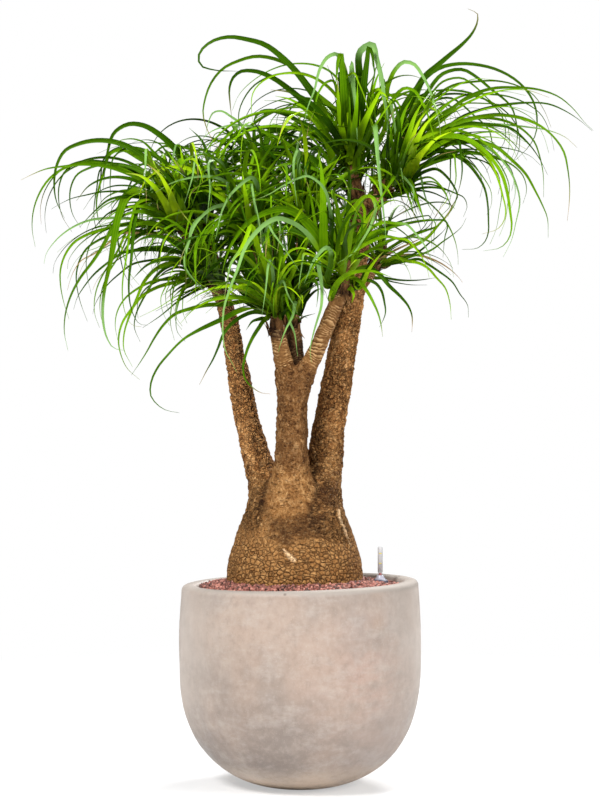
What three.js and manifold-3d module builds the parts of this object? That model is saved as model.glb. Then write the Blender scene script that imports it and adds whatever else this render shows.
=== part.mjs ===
import * as THREE from "three";
import { mergeVertices } from "three/addons/utils/BufferGeometryUtils.js";
import Module from "manifold-3d";

// A ponytail palm with three trunks on one swollen base, in a round stone-composite planter
// filled with clay granules, with a water gauge standing in them.
// Millimetres, +Z up. The origin is the centre of the planter's flat foot.

const wasm = await Module();
wasm.setup();

// ---------- Driving dimensions ----------

const gap = 0.3; // clearance between pieces that touch

const pot = {
  bellyRadius: 252,
  bellyHeight: 265, // where the wall stops widening
  roundness: 2.45, // power of the superellipse that shapes the lower half
  footCut: 6, // how much of that curve's bottom is cut off flat
  rimHeight: 421,
  rimRadius: 245,
  lipRadius: 212.5, // inside of the thick rim
  insideRadius: 236,
  floor: 24,
  segments: 34,
};

const granules = {
  edgeHeight: 414, // surface at the rim
  heapHeight: 427, // surface at the plant
  edgeRadius: 210.5,
  bump: 4,
  segments: 46,
  rows: 5,
};

const base = {
  centre: [-11, 0],
  segments: 32,
  plate: 4, // how far the bark plates stand out
  buried: [[332, 84], [355, 118], [390, 139], [424, 144]], // [height, radius]
  bark: [
    [441, 141], [458, 138], [475, 134], [492, 129], [509, 122.5], [526, 116],
    [544, 109.5], [564, 104.5], [586, 100], [612, 96],
  ],
  dome: [[638, 80]],
};

// Trunks and branches: each path point is [x, y, z, radius].
const limbs = {
  trunkLeft: {
    sides: 9,
    path: [
      [-52, 25, 560, 37], [-70, 35, 610, 33], [-86, 40, 662, 31], [-98, 44, 707, 28],
      [-107, 47, 740, 26], [-118, 50, 787, 25], [-127, 52, 841, 24], [-137, 54, 890, 21.5],
      [-145, 56, 944, 20.5], [-156, 58, 992, 18], [-164, 58, 1024, 17],
    ],
  },
  trunkRight: {
    sides: 9,
    path: [
      [28, 28, 560, 46], [44, 40, 626, 40], [53, 42, 680, 37], [60, 45, 734, 34.5],
      [69, 45, 787, 32.5], [80, 45, 850, 31], [92, 45, 920, 29.5],
      [103, 45, 971, 26], [113, 45, 1030, 24], [120, 45, 1100, 23], [128, 45, 1167, 25],
      [136, 45, 1198, 27], [139, 45, 1214, 23],
    ],
  },
  trunkCentre: {
    sides: 10,
    path: [
      [-18, -22, 575, 66], [-18, -32, 603, 57], [-18, -38, 630, 45], [-17, -42, 657, 38],
      [-17, -45, 690, 34.5], [-17, -46, 735, 32], [-16, -47, 788, 32.5], [-15, -46, 825, 37],
      [-12, -45, 846, 33],
    ],
  },
  branchLeftFront: {
    sides: 8, path: [[-22, -46, 822, 22], [-30, -52, 870, 19], [-40, -60, 912, 17], [-47, -65, 944, 17]],
  },
  branchRightFront: {
    sides: 8,
    path: [
      [-2, -48, 822, 26], [14, -53, 858, 20], [30, -58, 893, 17], [51, -66, 941, 16],
      [70, -73, 988, 15], [87, -78, 1025, 15.5],
    ],
  },
  branchMiddle: {
    sides: 8, path: [[-8, -34, 826, 22], [-6, -28, 860, 18], [-12, -20, 922, 16], [-31, 0, 1006, 16]],
  },
  twigMiddleFront: { sides: 8, path: [[-10, -24, 890, 12], [-9, -36, 925, 11], [-10, -44, 956, 11]] },
  twigCentreLeft: { sides: 8, path: [[-28, -2, 990, 13], [-68, -6, 1056, 13], [-102, -10, 1108, 13]] },
  twigCentre: { sides: 8, path: [[-30, 0, 994, 13], [-14, 5, 1062, 12], [6, 10, 1128, 13]] },
  twigBack: { sides: 8, path: [[-32, 4, 990, 13], [-52, 60, 1098, 13], [-78, 120, 1205, 13]] },
  twigLeftLow: { sides: 8, path: [[-158, 58, 996, 15], [-170, 46, 1022, 14], [-182, 28, 1046, 14]] },
  twigLeftOut: { sides: 8, path: [[-160, 58, 1002, 15], [-200, 50, 1090, 14], [-246, 42, 1166, 14]] },
  twigLeftUp: { sides: 8, path: [[-160, 62, 1000, 15], [-182, 80, 1084, 14], [-204, 90, 1158, 14]] },
  twigRightBack: { sides: 8, path: [[104, 46, 986, 17], [128, 82, 1040, 14], [152, 100, 1080, 14]] },
  twigTopLeft: { sides: 8, path: [[134, 42, 1186, 18], [124, 34, 1214, 17], [118, 30, 1230, 17]] },
  twigTopRight: { sides: 8, path: [[140, 46, 1190, 20], [156, 44, 1216, 18], [170, 42, 1236, 17]] },
};

// Heads of leaves: the twig whose end each sits on, the way it points, how long its stem tip is,
// and how many leaves of what length and width its rule adds to the ones placed by hand below.
const heads = {
  topLeft: {
    limb: "twigTopLeft", axis: [-0.08, -0.1, 1], core: 90, leaves: 22, length: [400, 560], width: 17,
  },
  topRight: {
    limb: "twigTopRight", axis: [0.6, -0.08, 0.8], core: 90, leaves: 22, length: [380, 540], width: 16,
  },
  rightFront: {
    limb: "branchRightFront", axis: [0.15, -0.3, 1], core: 62, leaves: 18, length: [300, 440], width: 15,
  },
  leftFront: {
    limb: "branchLeftFront", axis: [-0.12, -0.25, 1], core: 62, leaves: 16, length: [300, 430], width: 15,
  },
  middleFront: {
    limb: "twigMiddleFront", axis: [0.1, -0.2, 1], core: 48, leaves: 9, length: [240, 340], width: 13,
  },
  leftLow: {
    limb: "twigLeftLow", axis: [-0.55, -0.35, 0.8], core: 64, leaves: 17, length: [340, 480], width: 14,
  },
  leftOut: {
    limb: "twigLeftOut", axis: [-0.7, -0.05, 0.75], core: 76, leaves: 18, length: [340, 480], width: 15,
  },
  leftUp: {
    limb: "twigLeftUp", axis: [-0.25, 0.25, 1], core: 76, leaves: 18, length: [360, 500], width: 15,
  },
  centreLeft: {
    limb: "twigCentreLeft", axis: [-0.3, -0.3, 1], core: 70, leaves: 18, length: [320, 460], width: 15,
  },
  centre: {
    limb: "twigCentre", axis: [0.1, -0.15, 1], core: 70, leaves: 17, length: [300, 440], width: 15,
  },
  back: {
    limb: "twigBack", axis: [-0.15, 0.45, 1], core: 72, leaves: 20, length: [380, 520], width: 15,
  },
  rightBack: {
    limb: "twigRightBack", axis: [0.5, 0.55, 0.75], core: 66, leaves: 18, length: [340, 500], width: 14,
  },
};

// Leaves that make the plant's outline, by head: width, then points along each, chosen by hand.
const outlineLeaves = {
  topLeft: [
    [17, [25, 45, 1455], [-80, 30, 1545], [-185, 10, 1550], [-200, -5, 1500], [-130, -20, 1480]],
    [14, [25, 60, 1435], [-60, 60, 1520], [-145, 60, 1515], [-200, 60, 1435], [-165, 60, 1320]],
    [18, [25, 40, 1420], [-50, 20, 1475], [-120, 0, 1485], [-145, -20, 1445], [-140, -40, 1390]],
    [12, [40, 75, 1360], [-10, 90, 1400], [-65, 105, 1410], [-105, 120, 1390]],
    [19, [130, 20, 1435], [140, -20, 1535], [160, -60, 1485], [175, -100, 1385], [160, -140, 1285]],
    [18, [100, 20, 1435], [80, -25, 1515], [90, -65, 1455], [90, -110, 1370], [90, -150, 1315]],
    [17, [170, 35, 1455], [215, 10, 1505], [260, -10, 1465], [285, -35, 1410], [290, -60, 1350]],
  ],
  topRight: [
    [20, [225, 25, 1445], [305, 20, 1515], [365, 10, 1570], [375, 5, 1600], [350, 0, 1615]],
    [12, [275, 60, 1480], [380, 70, 1500], [475, 80, 1450], [505, 90, 1390], [460, 100, 1305]],
    [11, [295, 30, 1350], [405, 20, 1415], [515, 10, 1420], [575, 0, 1400], [610, -10, 1365]],
    [13, [305, 0, 1335], [415, -15, 1390], [515, -25, 1360], [560, -40, 1270], [555, -50, 1175]],
    [13, [285, -30, 1300], [375, -45, 1335], [460, -65, 1280], [505, -80, 1205], [510, -90, 1150]],
    [15, [300, -40, 1320], [375, -70, 1310], [425, -100, 1240], [430, -130, 1145], [375, -160, 1100]],
    [12, [275, 0, 1285], [325, -35, 1240], [340, -70, 1200], [330, -100, 1170]],
  ],
  rightBack: [
    [12, [190, 105, 1180], [275, 90, 1190], [310, 75, 1165], [300, 60, 1100]],
    [12, [200, 90, 1110], [265, 60, 1090], [310, 30, 1055], [345, 0, 1005]],
  ],
  rightFront: [
    [17, [80, -100, 1150], [130, -115, 1210], [155, -135, 1185], [125, -150, 1115], [80, -170, 1075]],
  ],
  leftOut: [
    [11, [-315, 30, 1235], [-400, 25, 1285], [-490, 15, 1300], [-545, 10, 1285], [-580, 0, 1260]],
    [15, [-325, 50, 1310], [-420, 55, 1345], [-490, 60, 1325], [-515, 60, 1260], [-495, 60, 1180]],
    [10, [-335, 75, 1265], [-435, 85, 1300], [-525, 95, 1270], [-565, 105, 1195], [-560, 110, 1125]],
    [18, [-330, -15, 1235], [-375, -50, 1175], [-400, -80, 1025], [-390, -115, 920], [-350, -150, 900]],
  ],
  leftUp: [
    [16, [-270, 100, 1345], [-340, 110, 1385], [-395, 120, 1360], [-415, 120, 1285], [-425, 120, 1190]],
    [16, [-255, 70, 1285], [-310, 55, 1330], [-355, 40, 1350], [-395, 20, 1340]],
  ],
  centreLeft: [
    [14, [-150, 0, 1280], [-210, 10, 1320], [-280, 15, 1335], [-340, 20, 1315]],
    [15, [-100, -50, 1200], [-100, -85, 1255], [-140, -125, 1225], [-160, -160, 1155], [-165, -200, 1120]],
  ],
  leftLow: [
    [10, [-315, 10, 1170], [-410, -15, 1175], [-490, -40, 1150], [-525, -60, 1085]],
    [13, [-275, 20, 1145], [-385, 10, 1140], [-485, 0, 1095], [-495, -10, 1030], [-480, -20, 970]],
    [13, [-300, -15, 1105], [-400, -40, 1100], [-470, -65, 1025], [-490, -80, 955], [-480, -95, 910]],
    [12, [-215, -10, 1025], [-280, -45, 965], [-315, -80, 895], [-340, -110, 850]],
  ],
  leftFront: [
    [14, [-125, -95, 985], [-195, -115, 960], [-285, -135, 880], [-300, -150, 810], [-245, -170, 775]],
    [12, [-75, -105, 980], [-105, -130, 910], [-110, -155, 850], [-65, -180, 815]],
  ],
  centre: [
    [16, [0, -20, 1235], [-5, -55, 1320], [-10, -90, 1290], [-5, -120, 1205]],
  ],
};

const blade = {
  segments: 4,
  outlineSegments: 6,
  keel: 1.6, // thickness under the middle of a leaf near its root
  tipKeel: 0.9,
  rootShare: 0.3, // a leaf's width inside the stem tip, as a share of its full width
};

// The crown as seen from the front, in which the rule's leaves stay: [x, z] points.
const crownTop = [
  [-560, 1270], [-430, 1335], [-340, 1370], [-200, 1400], [0, 1410], [70, 1490], [200, 1510], [400, 1490],
  [500, 1435], [600, 1370],
];
const crownFoot = [
  [-570, 1210], [-490, 960], [-370, 900], [-300, 850], [-200, 900], [-60, 930], [60, 950], [160, 985],
  [300, 1030], [360, 1080], [440, 1130], [560, 1190], [600, 1330],
];
const crownDepth = { centre: 30, reach: 450 };

const gauge = {
  place: [168, 25],
  shaftRadius: 8,
  shaftBore: 6.2,
  foot: 92,
  capHeight: 416, // underside of the cap, on the granules
  capRadius: 16.7,
  neckHeight: 436,
  neckRadius: 7,
  windowTop: 491.5,
  windowRadius: 5.2,
  windowBore: 4.2,
  seat: 427, // where the window stands in the cap
  floatRadius: 5.4,
  floatHeight: 46,
  rodRadius: 1.5,
  tipRadius: 2.7,
  tipHeight: 441, // top of the red tip with the float at its lowest
  segments: 12,
};

// ---------- Closed shapes ----------

function solidOf(vertices, faces) {
  const mesh = new wasm.Mesh({
    numProp: 3,
    vertProperties: new Float32Array(vertices.flatMap((vertex) => vertex.toArray())),
    triVerts: new Uint32Array(faces.flat()),
  });
  return new wasm.Manifold(mesh);
}

// A skin over rings of points that turn left about the way they advance. Each four-sided patch
// folds outwards, so a thin piece never cuts its own other side.
function skin(rings, tip = null) {
  const count = rings[0].length;
  const vertices = rings.flat();
  const faces = [];
  for (let row = 0; row + 1 < rings.length; row += 1) {
    for (let column = 0; column < count; column += 1) {
      const a = row * count + column;
      const b = row * count + ((column + 1) % count);
      const c = b + count;
      const d = a + count;
      const fromA = vertices[c].clone().sub(vertices[a]);
      const fromB = vertices[d].clone().sub(vertices[b]);
      const outward = fromA.clone().cross(fromB);
      const lift = vertices[a].clone().add(vertices[c]).sub(vertices[b]).sub(vertices[d]);
      if (lift.dot(outward) >= 0) {
        faces.push([a, b, c], [a, c, d]);
      } else {
        faces.push([a, b, d], [b, c, d]);
      }
    }
  }
  for (let column = 1; column + 1 < count; column += 1) {
    faces.push([0, column + 1, column]);
  }
  const last = (rings.length - 1) * count;
  if (tip) {
    vertices.push(tip);
    for (let column = 0; column < count; column += 1) {
      faces.push([last + column, last + ((column + 1) % count), vertices.length - 1]);
    }
  } else {
    for (let column = 1; column + 1 < count; column += 1) {
      faces.push([last, last + column, last + column + 1]);
    }
  }
  return solidOf(vertices, faces);
}

// A turned solid about +Z from [radius, height] points, listed from the axis, up the outside
// and back to the axis.
function turned(profile, segments) {
  const points = profile.map(([radius, height]) => new THREE.Vector2(radius, height));
  const lathe = new THREE.LatheGeometry(points, segments).rotateX(Math.PI / 2);
  lathe.deleteAttribute("normal");
  lathe.deleteAttribute("uv");
  const merged = mergeVertices(lathe, 1e-3);
  const place = merged.getAttribute("position");
  const vertices = Array.from(
    { length: place.count },
    (_, i) => new THREE.Vector3().fromBufferAttribute(place, i),
  );
  const faces = [];
  for (let i = 0; i < merged.index.count; i += 3) {
    const face = [merged.index.getX(i), merged.index.getX(i + 1), merged.index.getX(i + 2)];
    if (new Set(face).size === 3) {
      faces.push(face);
    }
  }
  return solidOf(vertices, faces);
}

// The largest closed body of a joined solid: sealed hollows are filled and scraps dropped.
function wholeBody(solid) {
  const bodies = solid.decompose();
  return bodies.reduce((largest, body) => (body.volume() > largest.volume() ? body : largest));
}

function geometryOf(solid, origin) {
  const mesh = solid.getMesh();
  const geometry = new THREE.BufferGeometry();
  geometry.setAttribute("position", new THREE.BufferAttribute(new Float32Array(mesh.vertProperties), 3));
  geometry.setIndex(new THREE.BufferAttribute(new Uint32Array(mesh.triVerts), 1));
  geometry.translate(-origin.x, -origin.y, -origin.z);
  return geometry;
}

// A direction, a side and a normal at each point, with the side carried along without turning.
function carryFrames(points, firstSide) {
  const side = firstSide.clone();
  return points.map((point, i) => {
    const before = points[Math.max(i - 1, 0)];
    const after = points[Math.min(i + 1, points.length - 1)];
    const tangent = after.clone().sub(before).normalize();
    side.addScaledVector(tangent, -side.dot(tangent)).normalize();
    return { point, tangent, side: side.clone(), normal: tangent.clone().cross(side) };
  });
}

// Numbers from 0 to 1 that are the same on every run.
function seededRandom(seed) {
  let state = seed;
  return () => {
    state = (state + 0x6d2b79f5) >>> 0;
    let mixed = Math.imul(state ^ (state >>> 15), state | 1);
    mixed ^= mixed + Math.imul(mixed ^ (mixed >>> 7), mixed | 61);
    return ((mixed ^ (mixed >>> 14)) >>> 0) / 4294967296;
  };
}

function interpolate(outline, x) {
  const next = outline.findIndex(([edge]) => edge > x);
  if (next <= 0) {
    return outline.at(next === 0 ? 0 : -1)[1];
  }
  const [x0, z0] = outline[next - 1];
  const [x1, z1] = outline[next];
  return z0 + ((z1 - z0) * (x - x0)) / (x1 - x0);
}

// ---------- Planter ----------

// Radius and height on the rounded lower half, from the foot (turn 0) to the belly (turn 1).
function bowl(radius, drop, bottom, turn) {
  const angle = (turn * Math.PI) / 2;
  const power = 2 / pot.roundness;
  return [radius * Math.sin(angle) ** power, bottom + drop * (1 - Math.max(Math.cos(angle), 0) ** power)];
}

function bowlProfile(radius, drop, bottom, cut, steps) {
  const firstTurn = (2 / Math.PI) * Math.acos((1 - cut / drop) ** (pot.roundness / 2));
  return Array.from(
    { length: steps + 1 },
    (_, i) => bowl(radius, drop, bottom - cut, firstTurn + ((1 - firstTurn) * i) / steps),
  );
}

const insideDrop = pot.bellyHeight - pot.floor + pot.footCut;
const insideBowl = bowlProfile(pot.insideRadius, insideDrop, pot.floor, pot.footCut, 6);
const insideWall = [[231, 335], [219, 376], [pot.lipRadius, 404]];

function potSolid() {
  const outsideBowl = bowlProfile(pot.bellyRadius, pot.bellyHeight + pot.footCut, 0, pot.footCut, 9);
  const outsideWall = [330, 375, 408].map((height) => {
    const rise = (height - pot.bellyHeight) / (pot.rimHeight - pot.bellyHeight);
    return [pot.bellyRadius - (pot.bellyRadius - pot.rimRadius) * rise ** 1.6, height];
  });
  const rim = [[242, 416.5], [234, pot.rimHeight], [223, pot.rimHeight], [215, 416.5]];
  const inside = [...insideBowl, ...insideWall].reverse();
  const profile = [[0, 0], ...outsideBowl, ...outsideWall, ...rim, ...inside, [0, pot.floor]];
  return turned(profile, pot.segments);
}

// ---------- Plant: swollen base, trunks and branches ----------

function baseSolid() {
  const random = seededRandom(11);
  const [x, y] = base.centre;
  const rows = [...base.buried, ...base.bark, ...base.dome];
  const firstPlate = base.buried.length;
  const lastPlate = firstPlate + base.bark.length;
  const rings = rows.map(([height, radius], row) =>
    Array.from({ length: base.segments }, (_, column) => {
      const plated = row >= firstPlate && row < lastPlate;
      const raised = (row + column) % 2 === 0 ? base.plate : 0;
      const reach = radius + (plated ? raised + random() : 0);
      const angle = ((column + (row % 3) / 3 - 1 / 3) * 2 * Math.PI) / base.segments;
      return new THREE.Vector3(x + reach * Math.cos(angle), y + reach * Math.sin(angle), height);
    }));
  return skin(rings);
}

// Bark ridges run round a limb: every other ring is a little fuller, and its corners are uneven.
function limbSolid({ sides, path }, seed) {
  const random = seededRandom(seed);
  const points = path.map(([x, y, z]) => new THREE.Vector3(x, y, z));
  const frames = carryFrames(points, new THREE.Vector3(1, 0, 0));
  const rings = frames.map(({ point, side, normal }, row) =>
    Array.from({ length: sides }, (_, column) => {
      const radius = path[row][3];
      const ends = row === 0 || row === path.length - 1;
      const uneven = ends ? 1 : 0.97 + 0.08 * random() + (row % 2 === 0 ? 0.02 : -0.01);
      const angle = (2 * Math.PI * column) / sides;
      return point.clone()
        .addScaledVector(side, radius * uneven * Math.cos(angle))
        .addScaledVector(normal, radius * uneven * Math.sin(angle));
    }));
  return skin(rings);
}

function trunkSolid() {
  const parts = Object.values(limbs).map((limb, i) => limbSolid(limb, 100 + i));
  return parts.reduce((joined, part) => joined.add(part), baseSolid());
}

// ---------- Granules ----------

function granulesSolid() {
  const random = seededRandom(23);
  const wallClearance = 1.5; // clears the flats of the planter's inside
  const outer = [...insideBowl, ...insideWall].map(
    ([radius, height]) => [radius - wallClearance, height + gap, 0],
  );
  const hollow = 1 / Math.cos(Math.PI / granules.segments);
  const inner = base.buried.map(([height, radius]) => [(radius + gap) * hollow, height, 1]).reverse();
  const holeRadius = 146;
  const top = Array.from({ length: granules.rows + 1 }, (_, row) => {
    const inwards = row / granules.rows;
    const radius = granules.edgeRadius + (holeRadius - granules.edgeRadius) * inwards;
    return [radius, granules.edgeHeight + (granules.heapHeight - granules.edgeHeight) * inwards, inwards];
  });
  const profile = [...outer, ...top, ...inner];
  const ring = ([radius, height, inwards], row) =>
    Array.from({ length: granules.segments }, (_, column) => {
      const surface = row >= outer.length && row < outer.length + top.length;
      const raised = (row + column) % 2 === 0 ? granules.bump : 0;
      const bump = surface ? raised * (0.6 + 0.6 * random()) - granules.bump / 2 : 0;
      const angle = (2 * Math.PI * column) / granules.segments;
      const x = base.centre[0] * inwards + radius * Math.cos(angle);
      return new THREE.Vector3(x, base.centre[1] * inwards + radius * Math.sin(angle), height + bump);
    });
  const floorOfHole = base.buried[0][0] - gap;
  const rings = profile.map(ring);
  rings.at(-1).forEach((point) => point.setZ(floorOfHole));
  const [gaugeX, gaugeY] = gauge.place;
  const shaftHole = turned([
    [0, gauge.foot - gap], [gauge.shaftRadius + 0.4, gauge.foot - gap],
    [gauge.shaftRadius + 0.4, gauge.capHeight - gap], [gauge.capRadius + 0.4, gauge.capHeight - gap],
    [gauge.capRadius + 0.4, pot.rimHeight + 20], [0, pot.rimHeight + 20],
  ], gauge.segments).translate([gaugeX, gaugeY, 0]);
  return skin(rings).subtract(shaftHole);
}

// ---------- Leaves ----------

// Narrow at the root, widest a little way out, then tapering to a point.
function leafWidth(width, t) {
  const root = 1 - (1 - blade.rootShare) * Math.exp(-10 * t);
  return width * root * (1 - t ** 1.6) ** 0.9;
}

// A leaf along its middle line: flat on top, with a keel below, closing to a point.
function leafSolid(points, firstSide, width) {
  const frames = carryFrames(points, firstSide);
  const last = points.length - 1;
  const rings = frames.slice(0, last).map(({ point, side, normal }, i) => {
    const half = leafWidth(width, i / last) / 2;
    const keel = blade.keel + (blade.tipKeel - blade.keel) * (i / last);
    return [
      point.clone().addScaledVector(side, half),
      point.clone().addScaledVector(side, -half),
      point.clone().addScaledVector(normal, -keel),
    ];
  });
  return skin(rings, points[last]);
}

// A leaf that leaves its head along a direction and bends down under its own weight: its
// steepness falls with a power of the length, so it arches and then hangs.
function hangingLine(root, direction, length, endSteepness, power) {
  const steps = 5;
  const heading = Math.atan2(direction.y, direction.x);
  const steepness = Math.asin(direction.z);
  const points = [root.clone()];
  const place = root.clone();
  const count = blade.segments * steps;
  for (let i = 0; i < count; i += 1) {
    const t = (i + 0.5) / count;
    const tilt = steepness + (endSteepness - steepness) * t ** power;
    place.x += (length / count) * Math.cos(tilt) * Math.cos(heading);
    place.y += (length / count) * Math.cos(tilt) * Math.sin(heading);
    place.z += (length / count) * Math.sin(tilt);
    if ((i + 1) % steps === 0) {
      points.push(place.clone());
    }
  }
  return points;
}

// Where the leaves' roots stand: a slim tapering stem tip that carries on from the twig.
function headCore(name) {
  const { limb, axis, core } = heads[name];
  const { path } = limbs[limb];
  const [x, y, z, radius] = path.at(-1);
  const end = new THREE.Vector3(x, y, z);
  const before = new THREE.Vector3(...path.at(-2).slice(0, 3));
  const limbAxis = end.clone().sub(before).normalize();
  const direction = new THREE.Vector3(...axis).normalize();
  const foot = end.clone().addScaledVector(limbAxis, gap);
  return { foot, limbAxis, direction, radius: radius * 0.92, length: core };
}

function coreSolid({ foot, limbAxis, direction, radius, length }) {
  const sides = 8;
  const stations = [[0, 1, 0], [0.12, 1, 0.15], [0.55, 0.7, 1], [1, 0.35, 1]]; // [along, radius, turned]
  const side = new THREE.Vector3(0, 1, 0);
  const place = foot.clone();
  let covered = 0;
  const rings = stations.map(([along, share, turn]) => {
    const heading = limbAxis.clone().lerp(direction, turn).normalize();
    place.addScaledVector(heading, (along - covered) * length);
    covered = along;
    side.addScaledVector(heading, -side.dot(heading)).normalize();
    const normal = heading.clone().cross(side);
    return Array.from({ length: sides }, (_, column) => {
      const angle = (2 * Math.PI * column) / sides;
      return place.clone()
        .addScaledVector(side, radius * share * Math.cos(angle))
        .addScaledVector(normal, radius * share * Math.sin(angle));
    });
  });
  return skin(rings);
}

function corePoint({ foot, limbAxis, direction, length }, share) {
  const bent = limbAxis.clone().multiplyScalar(0.2).addScaledVector(direction, 0.8).normalize();
  return foot.clone().addScaledVector(bent, share * length);
}

// Shortest distance between two straight stretches.
const between = new THREE.Vector3();
function stretchDistance(first, second) {
  const { from: p, along: u } = first;
  const { from: q, along: v } = second;
  between.subVectors(p, q);
  const a = u.dot(u);
  const e = v.dot(v);
  const b = u.dot(v);
  const c = u.dot(between);
  const f = v.dot(between);
  const across = a * e - b * b;
  let s = across > 1e-9 ? THREE.MathUtils.clamp((b * f - c * e) / across, 0, 1) : 0;
  let t = (b * s + f) / e;
  if (t < 0) {
    t = 0;
    s = THREE.MathUtils.clamp(-c / a, 0, 1);
  } else if (t > 1) {
    t = 1;
    s = THREE.MathUtils.clamp((b - c) / a, 0, 1);
  }
  return between.addScaledVector(u, s).addScaledVector(v, -t).length();
}

function stretchOf(owner, from, to, radius, isRoot = false) {
  const along = to.clone().sub(from);
  const middle = from.clone().addScaledVector(along, 0.5);
  return { owner, from, along, radius, isRoot, middle, half: along.length() / 2 };
}

function leafStretches(owner, points, width) {
  const last = points.length - 1;
  return points.slice(0, last).map((point, i) => {
    const widest = Math.max(leafWidth(width, i / last), leafWidth(width, (i + 1) / last));
    return stretchOf(owner, point, points[i + 1], widest / 2 + 0.8, i === 0);
  });
}

// Room already taken by twigs, stem tips and leaves. A leaf keeps clear of them all, but for its
// own head's stem tip and the first stretch from it.
const taken = [];
Object.entries(limbs).forEach(([name, { path }]) => {
  path.slice(1).forEach((end, i) => {
    const from = new THREE.Vector3(...path[i].slice(0, 3));
    const to = new THREE.Vector3(...end.slice(0, 3));
    taken.push(stretchOf(name, from, to, Math.max(path[i][3], end[3]) * 1.07 + 0.5));
  });
});
Object.keys(heads).forEach((name) => {
  const core = headCore(name);
  taken.push(stretchOf(name, core.foot, corePoint(core, 1), core.radius + 0.5, true));
});

function isClear(stretches, ownLimb) {
  return stretches.every((stretch) => taken.every((other) => {
    const atRoot = stretch.isRoot || other.isRoot;
    if (atRoot && (other.owner === stretch.owner || other.owner === ownLimb)) {
      return true;
    }
    const reach = stretch.radius + other.radius;
    if (stretch.middle.distanceTo(other.middle) > reach + stretch.half + other.half) {
      return true;
    }
    return stretchDistance(stretch, other) > reach;
  }));
}

function insideCrown(points) {
  return points.slice(2).every(({ x, y, z }) =>
    z < interpolate(crownTop, x) && z > interpolate(crownFoot, x) && x > -575 && x < 610
    && Math.abs(y - crownDepth.centre) < crownDepth.reach);
}

// The line of an outline leaf, pushed a little nearer or further until it is clear.
function outlineLine(head, through, shift) {
  const core = headCore(head);
  const root = corePoint(core, 0.35);
  const push = shift / through.length;
  const pushed = through.map(([x, y, z], i) => new THREE.Vector3(x, y + push * (i + 1), z));
  const curve = new THREE.CatmullRomCurve3([root, ...pushed], false, "centripetal");
  return curve.getSpacedPoints(blade.outlineSegments);
}

function sideOf(points) {
  const flat = points.at(-1).clone().sub(points[0]).setZ(0);
  return new THREE.Vector3(0, 0, 1).cross(flat).normalize();
}

const leavesOf = Object.fromEntries(Object.keys(heads).map((name) => [name, []]));

function placeOutlineLeaf(head, [width, ...through]) {
  const ownLimb = heads[head].limb;
  for (let attempt = 0; attempt < 60; attempt += 1) {
    const shift = Math.ceil(attempt / 2) * 6 * (attempt % 2 === 0 ? 1 : -1);
    const points = outlineLine(head, through, shift);
    const stretches = leafStretches(head, points, width);
    if (isClear(stretches, ownLimb)) {
      taken.push(...stretches);
      leavesOf[head].push(leafSolid(points, sideOf(points), width));
      return;
    }
  }
}
Object.entries(outlineLeaves).forEach(([head, leaves]) => {
  leaves.forEach((leaf) => placeOutlineLeaf(head, leaf));
});

// Leaves stand round a head in a spiral, the old ones low and spreading, the young ones upright.
function placeRuleLeaves(name, seed) {
  const random = seededRandom(seed);
  const { limb, leaves, length, width } = heads[name];
  const core = headCore(name);
  const goldenAngle = Math.PI * (3 - Math.sqrt(5));
  const side = new THREE.Vector3(0, 1, 0);
  side.addScaledVector(core.direction, -side.dot(core.direction)).normalize();
  const normal = core.direction.clone().cross(side);
  for (let i = 0; i < leaves; i += 1) {
    const age = 1 - i / (leaves - 1);
    for (let attempt = 0; attempt < 70; attempt += 1) {
      const loosen = 1 + attempt / 12;
      const angle = i * goldenAngle + (random() - 0.5) * 0.3 * loosen;
      const lift = 0.35 + 0.95 * (1 - age) + (random() - 0.5) * 0.2 * loosen;
      const direction = core.direction.clone().multiplyScalar(Math.sin(lift))
        .addScaledVector(side, Math.cos(lift) * Math.cos(angle))
        .addScaledVector(normal, Math.cos(lift) * Math.sin(angle));
      const root = corePoint(core, 0.28 + 0.6 * (1 - age));
      const longest = THREE.MathUtils.lerp(length[0], length[1], random());
      const shorten = 1 - 0.35 * (attempt / 70);
      const endSteepness = -(0.6 + 0.9 * random());
      const points = hangingLine(root, direction, longest * shorten, endSteepness, 1.1 + 0.7 * random());
      const leafBreadth = width * (0.7 + 0.35 * random());
      const stretches = leafStretches(name, points, leafBreadth);
      if (insideCrown(points) && isClear(stretches, limb)) {
        taken.push(...stretches);
        leavesOf[name].push(leafSolid(points, sideOf(points), leafBreadth));
        break;
      }
    }
  }
}
Object.keys(heads).forEach((name, i) => placeRuleLeaves(name, 500 + i));

function headSolid(name) {
  return wholeBody(leavesOf[name].reduce((joined, leaf) => joined.add(leaf), coreSolid(headCore(name))));
}

// ---------- Water gauge ----------

function gaugeHousing() {
  const ledgeBore = 3.6;
  const seatBore = gauge.windowRadius + 0.4;
  return turned([
    [3, gauge.foot], [gauge.shaftRadius, gauge.foot], [gauge.shaftRadius, gauge.capHeight],
    [gauge.capRadius, gauge.capHeight], [gauge.capRadius, gauge.capHeight + 2.5],
    [gauge.neckRadius + 3, gauge.neckHeight - 8], [gauge.neckRadius, gauge.neckHeight],
    [seatBore, gauge.neckHeight], [seatBore, gauge.seat - gap], [ledgeBore, gauge.seat - gap],
    [ledgeBore, gauge.seat - 3], [gauge.shaftBore, gauge.seat - 6], [gauge.shaftBore, gauge.foot + 2],
    [3, gauge.foot + 2], [3, gauge.foot],
  ], gauge.segments);
}

function gaugeWindow() {
  const top = gauge.windowTop;
  return turned([
    [gauge.windowBore, gauge.seat], [gauge.windowRadius, gauge.seat], [gauge.windowRadius, top - 1.5],
    [gauge.windowRadius - 1.2, top], [0, top], [0, top - 1.6], [gauge.windowBore, top - 2.2],
    [gauge.windowBore, gauge.seat],
  ], gauge.segments);
}

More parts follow.
